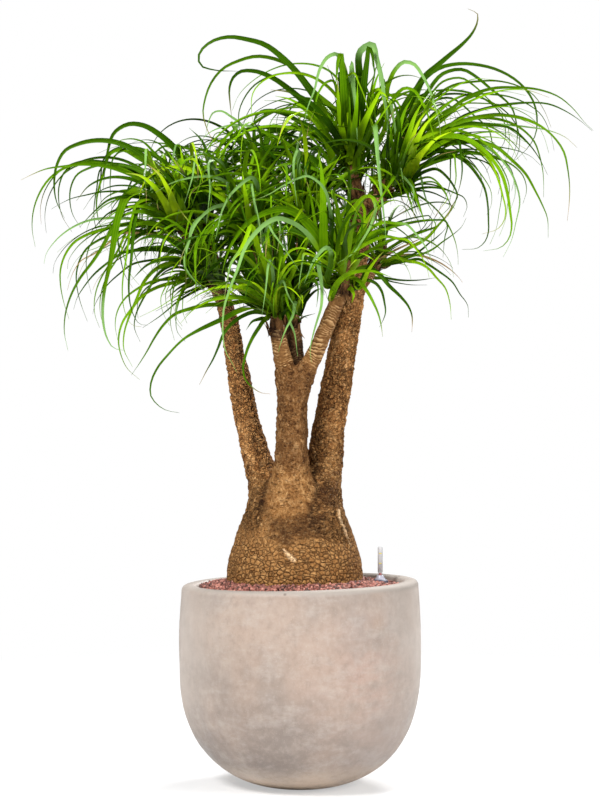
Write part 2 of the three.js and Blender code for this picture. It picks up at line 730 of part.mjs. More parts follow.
function gaugeFloat() {
  const foot = gauge.foot + 2 + gap;
  const shoulder = foot + gauge.floatHeight;
  const tipFoot = gauge.tipHeight - 4.5;
  return turned([
    [0, foot], [gauge.floatRadius - 1, foot], [gauge.floatRadius, foot + 2],
    [gauge.floatRadius, shoulder - 3], [gauge.rodRadius, shoulder], [gauge.rodRadius, tipFoot],
    [gauge.tipRadius, tipFoot],
    [gauge.tipRadius, gauge.tipHeight - 1], [1.2, gauge.tipHeight], [0, gauge.tipHeight],
  ], gauge.segments);
}

// ---------- Materials and assembly ----------

const finishes = {
  stone: new THREE.MeshStandardMaterial({ color: 0xb9aaa0, roughness: 0.85, metalness: 0 }),
  clay: new THREE.MeshStandardMaterial({ color: 0x7a3f2c, roughness: 0.95, metalness: 0 }),
  bark: new THREE.MeshStandardMaterial({ color: 0x8a6640, roughness: 0.95, metalness: 0 }),
  leaf: new THREE.MeshStandardMaterial({ color: 0x4f8f2a, roughness: 0.45, metalness: 0 }),
  greyPlastic: new THREE.MeshStandardMaterial({ color: 0x9a9aa6, roughness: 0.5, metalness: 0 }),
  clearPlastic: new THREE.MeshStandardMaterial({ color: 0xdfe3e6, roughness: 0.2, metalness: 0 }),
  redPlastic: new THREE.MeshStandardMaterial({ color: 0xb3261e, roughness: 0.4, metalness: 0 }),
};

const palm = new THREE.Group();

function addPiece(name, solid, finish, origin = new THREE.Vector3()) {
  const piece = new THREE.Mesh(geometryOf(solid, origin), finish);
  piece.name = name;
  piece.position.copy(origin);
  palm.add(piece);
}

addPiece("pot", potSolid(), finishes.stone);
addPiece("clay_granules", granulesSolid(), finishes.clay);
addPiece("trunk", trunkSolid(), finishes.bark);
Object.keys(heads).forEach((name) => {
  const plainName = name.replace(/[A-Z]/g, (letter) => `_${letter.toLowerCase()}`);
  addPiece(`leaves_${plainName}`, headSolid(name), finishes.leaf, headCore(name).foot);
});

const gaugeFoot = new THREE.Group();
gaugeFoot.position.set(gauge.place[0], gauge.place[1], 0);
palm.add(gaugeFoot);
[["gauge_housing", gaugeHousing(), finishes.greyPlastic],
  ["gauge_window", gaugeWindow(), finishes.clearPlastic],
  ["gauge_float", gaugeFloat(), finishes.redPlastic]].forEach(([name, solid, finish]) => {
  const piece = new THREE.Mesh(geometryOf(solid, new THREE.Vector3()), finish);
  piece.name = name;
  gaugeFoot.add(piece);
});

export default palm;
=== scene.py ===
import bpy
import numpy as np
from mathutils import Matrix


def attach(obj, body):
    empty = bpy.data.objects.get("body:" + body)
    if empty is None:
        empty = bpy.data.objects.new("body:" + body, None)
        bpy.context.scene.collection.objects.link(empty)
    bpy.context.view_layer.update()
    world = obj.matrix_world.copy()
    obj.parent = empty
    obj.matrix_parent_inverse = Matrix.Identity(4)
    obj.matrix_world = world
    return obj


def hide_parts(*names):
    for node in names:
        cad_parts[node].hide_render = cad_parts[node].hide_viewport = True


# A potted ponytail palm: three corky trunks on one swollen base, twelve heads of strap leaves,
# a round stone planter filled with clay granules, and a water gauge standing in them.

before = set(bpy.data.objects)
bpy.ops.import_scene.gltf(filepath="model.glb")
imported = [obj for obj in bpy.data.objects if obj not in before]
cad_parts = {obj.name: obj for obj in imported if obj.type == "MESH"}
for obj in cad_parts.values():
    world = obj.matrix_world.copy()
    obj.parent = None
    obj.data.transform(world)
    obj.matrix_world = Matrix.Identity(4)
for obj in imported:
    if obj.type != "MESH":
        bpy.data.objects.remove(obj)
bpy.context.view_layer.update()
mm = 0.001  # the settings below are in millimetres, the meshes in metres


# Camera: level, straight along +Y, on the middle line of the planter

view = {
    "distance": 4600,
    "height": 799,
    "lens": 99.36,
    "sensor": 36,
}

cameraData = bpy.data.cameras.new("camera")
cameraData.lens = view["lens"]
cameraData.sensor_width = view["sensor"]
camera = bpy.data.objects.new("camera", cameraData)
camera.location = (0, -view["distance"] * mm, view["height"] * mm)
camera.rotation_euler = (np.pi / 2, 0, 0)
bpy.context.scene.collection.objects.link(camera)
bpy.context.scene.camera = camera
print("camera placed")


# Where points in millimetres are seen: x and z at the planter's distance.
def frontView(points):
    nearer = view["distance"] / (view["distance"] + points[..., 1])
    return points[..., 0] * nearer, view["height"] + (points[..., 2] - view["height"]) * nearer


# Numbers and noise

# 0 before low and 1 past high; between them 3t^2 - 2t^3, where t is the share of the way.
def smoothStep(low, high, values):
    t = np.clip((values - low) / (high - low), 0.0, 1.0)
    return t * t * (3.0 - 2.0 * t)


# Vectors divided by their lengths.
def unit(vectors):
    return vectors / np.maximum(np.linalg.norm(vectors, axis=-1, keepdims=True), 1e-12)


# A fixed number from 0 to 1 for each whole-numbered cell: its coordinates times large primes, mixed.
def cellNumber(cells, seed):
    primes = np.array([73856093, 19349663, 83492791], np.uint32)[: cells.shape[-1]]
    mixed = (cells.astype(np.int64) & 0xFFFFFFFF).astype(np.uint32) * primes
    mixed = np.bitwise_xor.reduce(mixed, axis=-1) + np.uint32(seed * 40503 % 65521)
    mixed = (mixed ^ (mixed >> np.uint32(15))) * np.uint32(739982445)
    mixed = (mixed ^ (mixed >> np.uint32(12))) * np.uint32(695872825)
    return (mixed ^ (mixed >> np.uint32(15))) / 4294967296.0


# Smooth noise from -1 to 1: the eight numbers round a point, blended by smooth steps.
def smoothNoise(points, size, seed):
    scaled = points / size
    cell = np.floor(scaled).astype(np.int64)
    share = scaled - cell
    share = share * share * (3.0 - 2.0 * share)
    total = np.zeros(points.shape[:-1])
    for corner in np.ndindex(2, 2, 2):
        step = np.array(corner)
        weight = np.prod(np.where(step == 1, share, 1.0 - share), axis=-1)
        total += weight * cellNumber(cell + step, seed)
    return 2.0 * total - 1.0


# Noises added up, each half the size and half the strength of the one before.
def layeredNoise(points, size, seed, layers=3):
    return sum(smoothNoise(points, size / 2 ** i, seed + i) / 2 ** i for i in range(layers))


# Cells on a jittered grid that closes after `around` cells. Gives how far a point is inside its
# cell (second nearest centre's distance less the nearest's) and a number that is the cell's own.
def barkCells(u, v, around, jitter, seed):
    base = np.stack([np.floor(u), np.floor(v)], -1).astype(np.int64)
    nearest = np.full(u.shape, 9.0)
    second = np.full(u.shape, 9.0)
    own = np.zeros(u.shape)
    for stepU, stepV in np.ndindex(3, 3):
        cell = base + [stepU - 1, stepV - 1]
        wrapped = np.stack([cell[..., 0] % around, cell[..., 1]], -1)
        centreU = cell[..., 0] + 0.5 + jitter * (cellNumber(wrapped, seed) - 0.5)
        centreV = cell[..., 1] + 0.5 + jitter * (cellNumber(wrapped, seed + 7) - 0.5)
        reach = np.hypot(u - centreU, v - centreV)
        closer = reach < nearest
        second = np.where(closer, nearest, np.minimum(second, reach))
        own = np.where(closer, cellNumber(wrapped, seed + 13), own)
        nearest = np.where(closer, reach, nearest)
    return second - nearest, own


# A path through points of any width, evenly spaced: a cubic between each two points, whose slope
# at a point is that of the chord past it.
def smoothPath(points, count):
    points = np.asarray(points, float)
    lengths = np.linalg.norm(np.diff(points[:, :3], axis=0), axis=1)
    place = np.concatenate([[0.0], np.cumsum(lengths)])
    slope = np.gradient(points, place, axis=0)
    at = np.linspace(0.0, place[-1], count)
    row = np.clip(np.searchsorted(place, at, side="right") - 1, 0, len(points) - 2)
    span = lengths[row][:, None]
    t = (at - place[row])[:, None] / span
    return ((2 * t ** 3 - 3 * t ** 2 + 1) * points[row] + (t ** 3 - 2 * t ** 2 + t) * span * slope[row]
            + (3 * t ** 2 - 2 * t ** 3) * points[row + 1] + (t ** 3 - t ** 2) * span * slope[row + 1])


# Directions, sides and normals along paths, shape (..., points, 3). The side stays level as far
# as the path allows: it is the first side less its part along the path.
def pathFrames(paths, firstSides):
    tangents = unit(np.gradient(paths, axis=-2))
    sides = np.broadcast_to(firstSides[..., None, :], tangents.shape)
    sides = unit(sides - (sides * tangents).sum(-1, keepdims=True) * tangents)
    return tangents, sides, np.cross(tangents, sides)


# Meshes

# Four-cornered faces between rings of points that turn left about the way the rings advance.
def ringFaces(rows, columns):
    row, column = np.mgrid[0:rows - 1, 0:columns]
    a = row * columns + column
    b = row * columns + (column + 1) % columns
    return np.stack([a, b, b + columns, a + columns], -1).reshape(-1, 4)


# Rings closed with a point at each end.
def closedRings(rings, firstPoint, lastPoint):
    rows, columns = rings.shape[:2]
    vertices = np.concatenate([rings.reshape(-1, 3), [firstPoint], [lastPoint]])
    column = np.arange(columns)
    after = (column + 1) % columns
    first = np.full(columns, rows * columns)
    last = (rows - 1) * columns
    fans = np.concatenate([
        np.stack([first, after, column], -1),
        np.stack([first + 1, last + column, last + after], -1),
    ])
    return vertices, ringFaces(rows, columns), fans


# A smooth mesh. The faces of one set have the same number of corners.
def makeMesh(name, vertices, *faceSets):
    corners = np.concatenate([faces.ravel() for faces in faceSets])
    sizes = np.concatenate([np.full(len(faces), faces.shape[1]) for faces in faceSets])
    starts = np.concatenate([[0], np.cumsum(sizes)[:-1]])
    mesh = bpy.data.meshes.new(name)
    mesh.vertices.add(len(vertices))
    mesh.loops.add(len(corners))
    mesh.polygons.add(len(sizes))
    mesh.vertices.foreach_set("co", np.ascontiguousarray(vertices, np.float32).ravel())
    mesh.loops.foreach_set("vertex_index", corners.astype(np.int32))
    mesh.polygons.foreach_set("loop_start", starts.astype(np.int32))
    mesh.polygons.foreach_set("use_smooth", np.ones(len(sizes), bool))
    mesh.update(calc_edges=True)
    return mesh


# Closed parts, each its vertices, quads and fans, as one mesh.
def joinParts(name, parts):
    counts = np.cumsum([0] + [len(part[0]) for part in parts])
    vertices = np.concatenate([part[0] for part in parts]) * mm
    faceSets = [np.concatenate([part[i] + count for part, count in zip(parts, counts)]) for i in (1, 2)]
    return makeMesh(name, vertices, *faceSets)


# A number for each point or face of a mesh, read by its material.
def setAttribute(mesh, name, values, domain="POINT"):
    attribute = mesh.attributes.new(name, "FLOAT", domain)
    attribute.data.foreach_set("value", np.ascontiguousarray(values, np.float32).ravel())


# Puts a mesh in the scene and says its body, its slot and the nodes it stands for.
def addPiece(mesh, material, body="planter", replaces=()):
    piece = bpy.data.objects.new(mesh.name, mesh)
    bpy.context.scene.collection.objects.link(piece)
    mesh.materials.append(material)
    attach(piece, body)
    if replaces:
        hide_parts(*replaces)
    return piece


# Rings of a turned shape about a line along Z: x = radius cos(angle), y = radius sin(angle), z = height.
def turnedRings(profile, segments, place=(0.0, 0.0)):
    radius, height = np.asarray(profile, float).T
    angle = np.linspace(0.0, 2 * np.pi, segments, endpoint=False)
    x = place[0] + radius[:, None] * np.cos(angle)
    y = place[1] + radius[:, None] * np.sin(angle)
    return np.stack([x, y, np.broadcast_to(height[:, None], x.shape)], -1)


# The closed shape: its profile's first and last points are on the line.
def turnedMesh(name, profile, segments, place=(0.0, 0.0)):
    rings = turnedRings(profile[1:-1], segments, place)
    ends = [(place[0], place[1], profile[i][1]) for i in (0, -1)]
    vertices, quads, fans = closedRings(rings, *ends)
    return makeMesh(name, vertices * mm, quads, fans)


# Material building

# A node with its settings. An input is a number, a colour or another node's output.
def addNode(tree, kind, inputs=None, **settings):
    node = tree.nodes.new(kind)
    for name, value in settings.items():
        setattr(node, name, value)
    for socket, value in (inputs or {}).items():
        if isinstance(value, bpy.types.NodeSocket):
            tree.links.new(value, node.inputs[socket])
        else:
            node.inputs[socket].default_value = value
    return node


# What a Math node makes of two inputs; times, plus and less are its commonest kinds.
def maths(tree, operation, first, second=0.0):
    return addNode(tree, "ShaderNodeMath", {0: first, 1: second}, operation=operation).outputs[0]


def times(tree, first, second):
    return maths(tree, "MULTIPLY", first, second)


def plus(tree, first, second):
    return maths(tree, "ADD", first, second)


def less(tree, first, second):
    return maths(tree, "SUBTRACT", first, second)


# (1 - factor) * first + factor * second, or first times second by the same share.
def mixColour(tree, factor, first, second, blend="MIX"):
    node = addNode(
        tree, "ShaderNodeMix", {0: factor, 6: first, 7: second},
        data_type="RGBA", blend_type=blend, clamp_factor=True,
    )
    return node.outputs[2]


# Colours laid on a first one in turn, each with its mask.
def layered(tree, colour, layers):
    for mask, over in layers:
        colour = mixColour(tree, mask, colour, over)
    return colour


# A straight line from toLow at low to toHigh at high, held at both ends.
def remap(tree, value, low, high, toLow=0.0, toHigh=1.0):
    node = addNode(tree, "ShaderNodeMapRange", {0: value, 1: low, 2: high, 3: toLow, 4: toHigh})
    return node.outputs[0]


# Colours by value, straight lines between the stops.
def ramp(tree, value, stops):
    node = addNode(tree, "ShaderNodeValToRGB", {0: value})
    elements = node.color_ramp.elements
    while len(elements) < len(stops):
        elements.new(0.5)
    for element, (place, colour) in zip(elements, stops):
        element.position = place
        element.color = (*colour, 1.0)
    return node.outputs[0]


def attribute(tree, name):
    return addNode(tree, "ShaderNodeAttribute", attribute_name=name).outputs["Fac"]


def noise(tree, vector, scale, detail=3.0, roughness=0.55):
    node = addNode(tree, "ShaderNodeTexNoise", {
        "Vector": vector, "Scale": scale, "Detail": detail, "Roughness": roughness,
    })
    return node.outputs["Fac"]


def stretched(tree, vector, scale):
    return addNode(tree, "ShaderNodeMapping", {"Vector": vector, "Scale": scale}).outputs[0]


# The normal leans by the slope of height * distance.
def bump(tree, height, distance, strength=1.0):
    node = addNode(tree, "ShaderNodeBump", {"Height": height, "Distance": distance, "Strength": strength})
    return node.outputs[0]


# A new material, its tree, its object coordinates and its Principled shader.
def newMaterial(name, **values):
    material = bpy.data.materials.new(name)
    material.use_nodes = True
    tree = material.node_tree
    shader = next(node for node in tree.nodes if node.type == "BSDF_PRINCIPLED")
    for socket, value in values.items():
        shader.inputs[socket.replace("_", " ")].default_value = value
    place = addNode(tree, "ShaderNodeTexCoord").outputs["Object"]
    return material, tree, shader, place


def connect(tree, shader, **sockets):
    for name, value in sockets.items():
        tree.links.new(value, shader.inputs[name.replace("_", " ")])


# Soft clouds and small specks, shared by the stone, the clay, the bark and the plastic.
def makeWeatherGroup():
    group = bpy.data.node_groups.new("weathering", "ShaderNodeTree")
    for name, kind in (("Vector", "NodeSocketVector"), ("Cloud Scale", "NodeSocketFloat"),
                       ("Speck Scale", "NodeSocketFloat"), ("Speck Share", "NodeSocketFloat")):
        group.interface.new_socket(name, in_out="INPUT", socket_type=kind)
    for name in ("Clouds", "Specks", "Grain"):
        group.interface.new_socket(name, in_out="OUTPUT", socket_type="NodeSocketFloat")
    inputs = group.nodes.new("NodeGroupInput").outputs
    clouds = noise(group, inputs["Vector"], inputs["Cloud Scale"], 5.0, 0.6)
    grain = noise(group, inputs["Vector"], inputs["Speck Scale"], 2.0, 0.6)
    cells = addNode(group, "ShaderNodeTexVoronoi", {
        "Vector": inputs["Vector"], "Scale": inputs["Speck Scale"],
    })
    size = times(group, inputs["Speck Share"], cells.outputs["Color"])
    specks = maths(group, "LESS_THAN", cells.outputs["Distance"], size)
    results = group.nodes.new("NodeGroupOutput").inputs
    for name, value in (("Clouds", clouds), ("Specks", specks), ("Grain", grain)):
        group.links.new(value, results[name])
    return group


weathering = makeWeatherGroup()


def weather(tree, vector, cloudScale, speckScale, speckShare):
    node = addNode(tree, "ShaderNodeGroup", node_tree=weathering)
    tree.links.new(vector, node.inputs["Vector"])
    node.inputs["Cloud Scale"].default_value = cloudScale
    node.inputs["Speck Scale"].default_value = speckScale
    node.inputs["Speck Share"].default_value = speckShare
    return node.outputs


# Planter

potShape = {
    "bellyRadius": 252, "bellyHeight": 265, "roundness": 2.45, "footCut": 6,
    "rimHeight": 421, "rimStart": 407, "rimRadius": 245, "lipRadius": 212.5,
    "wallPower": 1.6, "rimPowers": [0.8, 0.75],
    "insideRadius": 236, "floor": 24,
    "neck": [[236, 265, 0], [231, 335, 0], [219, 376, 0], [212.5, 404, 0]],  # inside, above the belly
    "segments": 176,
    "rimTilt": 6.0,  # how much higher the rim is at +X than in the middle
    "unevenness": 1.1,
}


# The rounded lower half: radius rises with a power of the sine, height with one of the cosine.
def bowlProfile(radius, drop, bottom, cut, count):
    power = 2 / potShape["roundness"]
    first = np.arccos((1 - cut / drop) ** (1 / power))
    angle = np.linspace(first, np.pi / 2, count)
    height = bottom - cut + drop * (1 - np.maximum(np.cos(angle), 0.0) ** power)
    return np.stack([radius * np.sin(angle) ** power, height], -1)


# The outline turned about Z: foot, bowl, a wall whose radius falls with a power of its height, half
# a flattened ring for the rim, then the inside. Noise moves the skin out and in a little.
def makePot():
    shape = potShape
    belly, rimStart, cut = shape["bellyHeight"], shape["rimStart"], shape["footCut"]
    outside = bowlProfile(shape["bellyRadius"], belly + cut, 0, cut, 64)
    foot = np.stack([np.linspace(0, outside[0, 0] - 3, 5), np.zeros(5)], -1)
    height = np.linspace(belly + 5, rimStart, 30)
    rise = (height - belly) / (shape["rimHeight"] - belly)
    narrowing = (shape["bellyRadius"] - shape["rimRadius"]) * rise ** shape["wallPower"]
    wall = np.stack([shape["bellyRadius"] - narrowing, height], -1)
    turn = np.linspace(0.08, np.pi - 0.1, 22)
    half = (wall[-1, 0] - shape["lipRadius"]) / 2
    across, up = shape["rimPowers"]
    rim = np.stack([
        shape["lipRadius"] + half + half * np.sign(np.cos(turn)) * np.abs(np.cos(turn)) ** across,
        rimStart + (shape["rimHeight"] - rimStart) * np.sin(turn) ** up,
    ], -1)
    inside = bowlProfile(shape["insideRadius"], belly - shape["floor"] + cut, shape["floor"], cut, 20)
    inner = np.concatenate([inside[:-1], smoothPath(shape["neck"], 16)[:, :2]])[::-1]
    profile = np.concatenate([foot, outside, wall, rim, inner, [[0, shape["floor"]]]])
    rings = turnedRings(profile[1:-1], shape["segments"])
    uneven = layeredNoise(rings, 120, 3) + 0.25 * layeredNoise(rings, 30, 5)
    outward = unit(rings * [1, 1, 0])
    fromFoot = smoothStep(4, 60, rings[..., 2:])
    rings = rings + outward * uneven[..., None] * shape["unevenness"] * fromFoot
    upperPart = smoothStep(250, shape["rimHeight"], rings[..., 2])
    rings[..., 2] += shape["rimTilt"] * rings[..., 0] / shape["rimRadius"] * upperPart
    vertices, quads, fans = closedRings(rings, (0, 0, 0), (0, 0, shape["floor"]))
    mesh = makeMesh("pot_body", vertices * mm, quads, fans)
    fromMiddle = np.hypot(*vertices[:, :2].T)
    # The rim's top: darker in the stone's colour as painted shade against the light on it, and rougher.
    setAttribute(mesh, "rim", smoothStep(409, 419, vertices[:, 2]) * smoothStep(205, 214, fromMiddle))
    return addPiece(mesh, stoneMaterial(), replaces=["pot"])


# How near a point is to a spot on the planter: 1 at its middle, 0 past its reach.
def spot(tree, place, middle, reach):
    away = addNode(tree, "ShaderNodeVectorMath", {0: place, 1: middle}, operation="DISTANCE")
    return remap(tree, away.outputs["Value"], reach, reach * 0.2)


stoneLook = {
    "mottle": [
        (0.38, (0.258, 0.203, 0.168)), (0.47, (0.303, 0.240, 0.200)), (0.54, (0.336, 0.269, 0.226)),
        (0.64, (0.410, 0.336, 0.286)),
    ],
    "pink": (0.44, 0.285, 0.225, 1), "tan": (0.50, 0.375, 0.295, 1), "stain": (0.33, 0.225, 0.16, 1),
    "warm": (0.42, 0.300, 0.232, 1), "cool": (0.33, 0.285, 0.258, 1),
    # On this line, the colours for the band above the foot and for the low right are painted shade; the
    # foot's paler colour is partly painted light.
    "damp": (0.215, 0.175, 0.153, 1), "lowRightShade": (0.225, 0.185, 0.165, 1), "foot": (0.56, 0.44, 0.335, 1),
    # On the next line, the pale colour for the edges is a painted sheen and the rim's colour is painted
    # shade.
    "veil": (0.50, 0.445, 0.405, 1), "dust": (0.61, 0.54, 0.485, 1), "rim": (0.350, 0.308, 0.272, 1),
    "paleGrain": (0.48, 0.405, 0.35, 1), "darkGrain": (0.20, 0.155, 0.125, 1),
    "paleSpecks": (0.62, 0.57, 0.51, 1), "darkSpecks": (0.20, 0.15, 0.12, 1),
    "chip": (0.72, 0.68, 0.64, 1), "dot": (0.10, 0.065, 0.045, 1),
    "spots": {  # middle and reach, in metres
        "pink": [(0.14, -0.20, 0.225), 0.19], "tan": [(-0.15, -0.20, 0.34), 0.22],
        "stain": [(0.158, -0.195, 0.352), 0.024], "lowRightShade": [(0.17, -0.15, 0.09), 0.13],
        "chip": [(-0.196, -0.135, 0.090), 0.011], "dot": [(-0.030, -0.243, 0.416), 0.0045],
    },
}


# The sum of three noises picks a tone from dark to pale. Patches, a grey band above the foot darkened further
# by painted shade, a paler foot that is partly painted light, stains, grains, a painted sheen where the
# surface turns away, painted shade low on the right and a rim darkened by painted shade lie over it in turn.
def stoneMaterial():
    material, tree, shader, place = newMaterial("stone_composite", Coat_Weight=0.06, Coat_Roughness=0.4)
    look = stoneLook
    spots = {name: spot(tree, place, *where) for name, where in look["spots"].items()}
    broad = weather(tree, place, 5.5, 300.0, 0.2)
    fine = weather(tree, place, 19.0, 900.0, 0.3)
    wiped = noise(tree, stretched(tree, place, (7, 7, 19)), 1.0, 6.0, 0.68)
    warmth = noise(tree, stretched(tree, place, (6.5, 6.5, 5.0)), 1.0, 4.0, 0.6)
    veil = noise(tree, stretched(tree, place, (12, 12, 25)), 1.0, 5.0, 0.72)
    grain = noise(tree, stretched(tree, place, (70, 70, 55)), 1.0, 5.0, 0.7)
    height = addNode(tree, "ShaderNodeSeparateXYZ", {0: place}).outputs[2]
    rim = attribute(tree, "rim")
    mottle = plus(tree, times(tree, broad["Clouds"], 0.36), times(tree, fine["Clouds"], 0.28))
    mottle = plus(tree, mottle, times(tree, wiped, 0.36))
    even = remap(tree, height, 0.16, 0.28, 0, 0.4)  # the upper half is plainer
    mottle = plus(tree, times(tree, mottle, less(tree, 1.0, even)), times(tree, even, 0.515))
    pink = times(tree, spots["pink"], remap(tree, wiped, 0.38, 0.6))
    tan = times(tree, spots["tan"], remap(tree, broad["Clouds"], 0.4, 0.6))
    # Painted shade over a grey band above the foot: darker towards the bottom.
    damp = times(tree, remap(tree, height, 0.23, 0.09), remap(tree, height, 0.0, 0.05))
    # A paler, warmer foot: its own colour and painted light against the shadow there.
    foot = times(tree, remap(tree, height, 0.066, 0.010), remap(tree, wiped, 0.35, 0.6, 0.5, 1))
    # A painted sheen: paler where the surface turns away from the view, on the upper part.
    turned = addNode(tree, "ShaderNodeLayerWeight", {"Blend": 0.5}).outputs["Facing"]
    sheen = times(tree, remap(tree, turned, 0.15, 0.8), remap(tree, mottle, 0.42, 0.56, 0.5, 0.9))
    colour = layered(tree, ramp(tree, mottle, look["mottle"]), [
        (times(tree, pink, 0.65), look["pink"]),
        (times(tree, tan, 0.5), look["tan"]),
        (remap(tree, warmth, 0.48, 0.62, 0, 0.42), look["warm"]),
        (remap(tree, warmth, 0.46, 0.36, 0, 0.40), look["cool"]),
        (times(tree, damp, remap(tree, mottle, 0.56, 0.42, 0.35, 0.85)), look["damp"]),
        (times(tree, foot, 0.95), look["foot"]),
        (times(tree, spots["stain"], 0.55), look["stain"]),
        (remap(tree, veil, 0.50, 0.64, 0, 0.30), look["veil"]),
        (remap(tree, grain, 0.50, 0.70, 0, 0.35), look["paleGrain"]),
        (remap(tree, grain, 0.48, 0.32, 0, 0.30), look["darkGrain"]),
        (spots["chip"], look["chip"]),
        (times(tree, fine["Specks"], 0.4), look["darkSpecks"]),
        (times(tree, broad["Specks"], 0.4), look["paleSpecks"]),
        (times(tree, sheen, remap(tree, height, 0.11, 0.25)), look["dust"]),
        # Painted shade low on the right.
        (times(tree, spots["lowRightShade"], 0.5), look["lowRightShade"]),
        # The rim's top darker and greyer: painted shade against the light falling on it.
        (times(tree, rim, 0.9), look["rim"]),
        (spots["dot"], look["dot"]),
    ])
    roughness = maths(tree, "MAXIMUM", remap(tree, mottle, 0.40, 0.6, 0.42, 0.62), times(tree, rim, 0.8))
    relief = plus(tree, times(tree, fine["Grain"], 0.35), mottle)
    relief = less(tree, relief, times(tree, fine["Specks"], 0.4))
    connect(tree, shader, Base_Color=colour, Roughness=roughness, Normal=bump(tree, relief, 0.0014, 0.6))
    return material


makePot()
print("planter made")


# Granules

granuleBed = {
    "edgeHeight": 414, "heapHeight": 427, "edgeRadius": 211, "plantRadius": 138,
    "side": [[60, 40], [150, 60], [205, 110], [230, 190], [233, 265], [228, 335], [216, 376], [210.5, 402]],
    "bottom": 32, "segments": 96, "rows": 10,
    "count": 5200, "size": 6.4, "sizeSpread": 1.4, "seed": 41,
    "sunk": 6.4,  # how deep the lowest loose ones lie
    "gaugeGap": 19, "dipReach": 36, "dip": 6.0,  # the hollow in which the gauge stands
}
baseCentre = np.array([-11.0, 0.0])
gaugePlace = np.array([168.0, 25.0])


# The bed's height falls evenly from the plant to the planter's wall.
def bedHeight(points):
    bed = granuleBed
    fromEdge = bed["edgeRadius"] - np.hypot(points[:, 0], points[:, 1])
    inwards = np.clip(fromEdge / (bed["edgeRadius"] - bed["plantRadius"]), 0, 1)
    return bed["edgeHeight"] + (bed["heapHeight"] - bed["edgeHeight"]) * inwards


# The bed is a turned solid. Loose granules lie on it: twenty-sided solids whose corners are moved
# in and out at random, each turned about Z and sunk by a random share.
def makeGranules():
    bed = granuleBed
    top = [[radius, bed["edgeHeight"] - 7 + 0.12 * (bed["edgeRadius"] - radius)]
           for radius in np.linspace(bed["edgeRadius"] - 2, 40, bed["rows"])]
    outline = [[0, bed["bottom"]], *bed["side"], *top, [0, top[-1][1] + 2]]
    bedMesh = turnedMesh("clay_bed", outline, bed["segments"])
    random = np.random.default_rng(bed["seed"])
    tries = bed["count"] * 2
    angle = random.uniform(0, 2 * np.pi, tries)
    nearest, furthest = bed["plantRadius"] ** 2 * 0.8, (bed["edgeRadius"] - 3.4) ** 2
    radius = np.sqrt(random.uniform(nearest, furthest, tries))
    centres = np.stack([radius * np.cos(angle), radius * np.sin(angle)], -1)
    outsidePlant = np.hypot(*(centres - baseCentre).T) > bed["plantRadius"] - 2
    outsideGauge = np.hypot(*(centres - gaugePlace).T) > bed["gaugeGap"]
    centres = centres[outsidePlant & outsideGauge][: bed["count"]]
    count = len(centres)
    sunk = random.uniform(0, 1, count)
    fromGauge = np.hypot(*(centres - gaugePlace).T)
    dip = bed["dip"] * smoothStep(bed["dipReach"], bed["gaugeGap"] + 1, fromGauge)
    height = bedHeight(centres) - 0.6 - bed["sunk"] * sunk - dip
    size = (bed["size"] + bed["sizeSpread"] * random.uniform(-1, 1, count)) / 2
    golden = (1 + 5 ** 0.5) / 2
    corners = unit(np.array([
        [-1, golden, 0], [1, golden, 0], [-1, -golden, 0], [1, -golden, 0],
        [0, -1, golden], [0, 1, golden], [0, -1, -golden], [0, 1, -golden],
        [golden, 0, -1], [golden, 0, 1], [-golden, 0, -1], [-golden, 0, 1],
    ]))
    faces = np.array([
        [0, 11, 5], [0, 5, 1], [0, 1, 7], [0, 7, 10], [0, 10, 11], [1, 5, 9], [5, 11, 4], [11, 10, 2],
        [10, 7, 6], [7, 1, 8], [3, 9, 4], [3, 4, 2], [3, 2, 6], [3, 6, 8], [3, 8, 9], [4, 9, 5],
        [2, 4, 11], [6, 2, 10], [8, 6, 7], [9, 8, 1],
    ])
    turnZ = random.uniform(0, 2 * np.pi, count)
    cosine, sine = np.cos(turnZ)[:, None], np.sin(turnZ)[:, None]
    reach = size[:, None] * random.uniform(0.86, 1.14, (count, 12))
    x, y, z = [corners[:, i] * reach * random.uniform(0.85, 1.15, (count, 1)) for i in range(3)]
    points = np.stack([x * cosine - y * sine, x * sine + y * cosine, z], -1)
    points += np.column_stack([centres, height])[:, None, :]
    allFaces = faces[None] + 12 * np.arange(count)[:, None, None]
    mesh = makeMesh("clay_granules_top", points.reshape(-1, 3) * mm, allFaces.reshape(-1, 3))
    # Sunken granules are darker: painted shade between them.
    tone = np.clip(random.uniform(0, 1.15, count) - 0.45 * sunk, 0, 1)
    setAttribute(mesh, "tone", np.repeat(tone, 12))
    clay = clayMaterial()
    # The bed takes the darkest tone: painted shade in the gaps between the granules.
    setAttribute(bedMesh, "tone", np.full(len(bedMesh.vertices), 0.0))
    addPiece(bedMesh, clay, replaces=["clay_granules"])
    addPiece(mesh, clay, replaces=["clay_granules"])


# Each granule's tone, random and lower for sunken ones as painted shade; the bed under them has the darkest,
# also painted shade. Dusty in the clouds.
def clayMaterial():
    material, tree, shader, place = newMaterial("fired_clay")
    weathered = weather(tree, place, 60.0, 700.0, 0.3)
    colour = ramp(tree, attribute(tree, "tone"), [
        (0.0, (0.030, 0.009, 0.007)), (0.3, (0.17, 0.048, 0.034)), (0.75, (0.34, 0.112, 0.082)),
        (1.0, (0.55, 0.235, 0.180)),
    ])
    dusty = remap(tree, weathered["Clouds"], 0.4, 0.75, 0, 0.3)
    colour = mixColour(tree, dusty, colour, (0.50, 0.27, 0.21, 1))
    relief = bump(tree, weathered["Grain"], 0.0006, 0.6)
    roughness = remap(tree, weathered["Grain"], 0.3, 0.7, 0.5, 0.8)
    connect(tree, shader, Base_Color=colour, Roughness=roughness, Normal=relief)
    return material


makeGranules()
print("granules made")


# Trunks: the swollen base and the three corky trunks are one skin, and young branches grow out of it

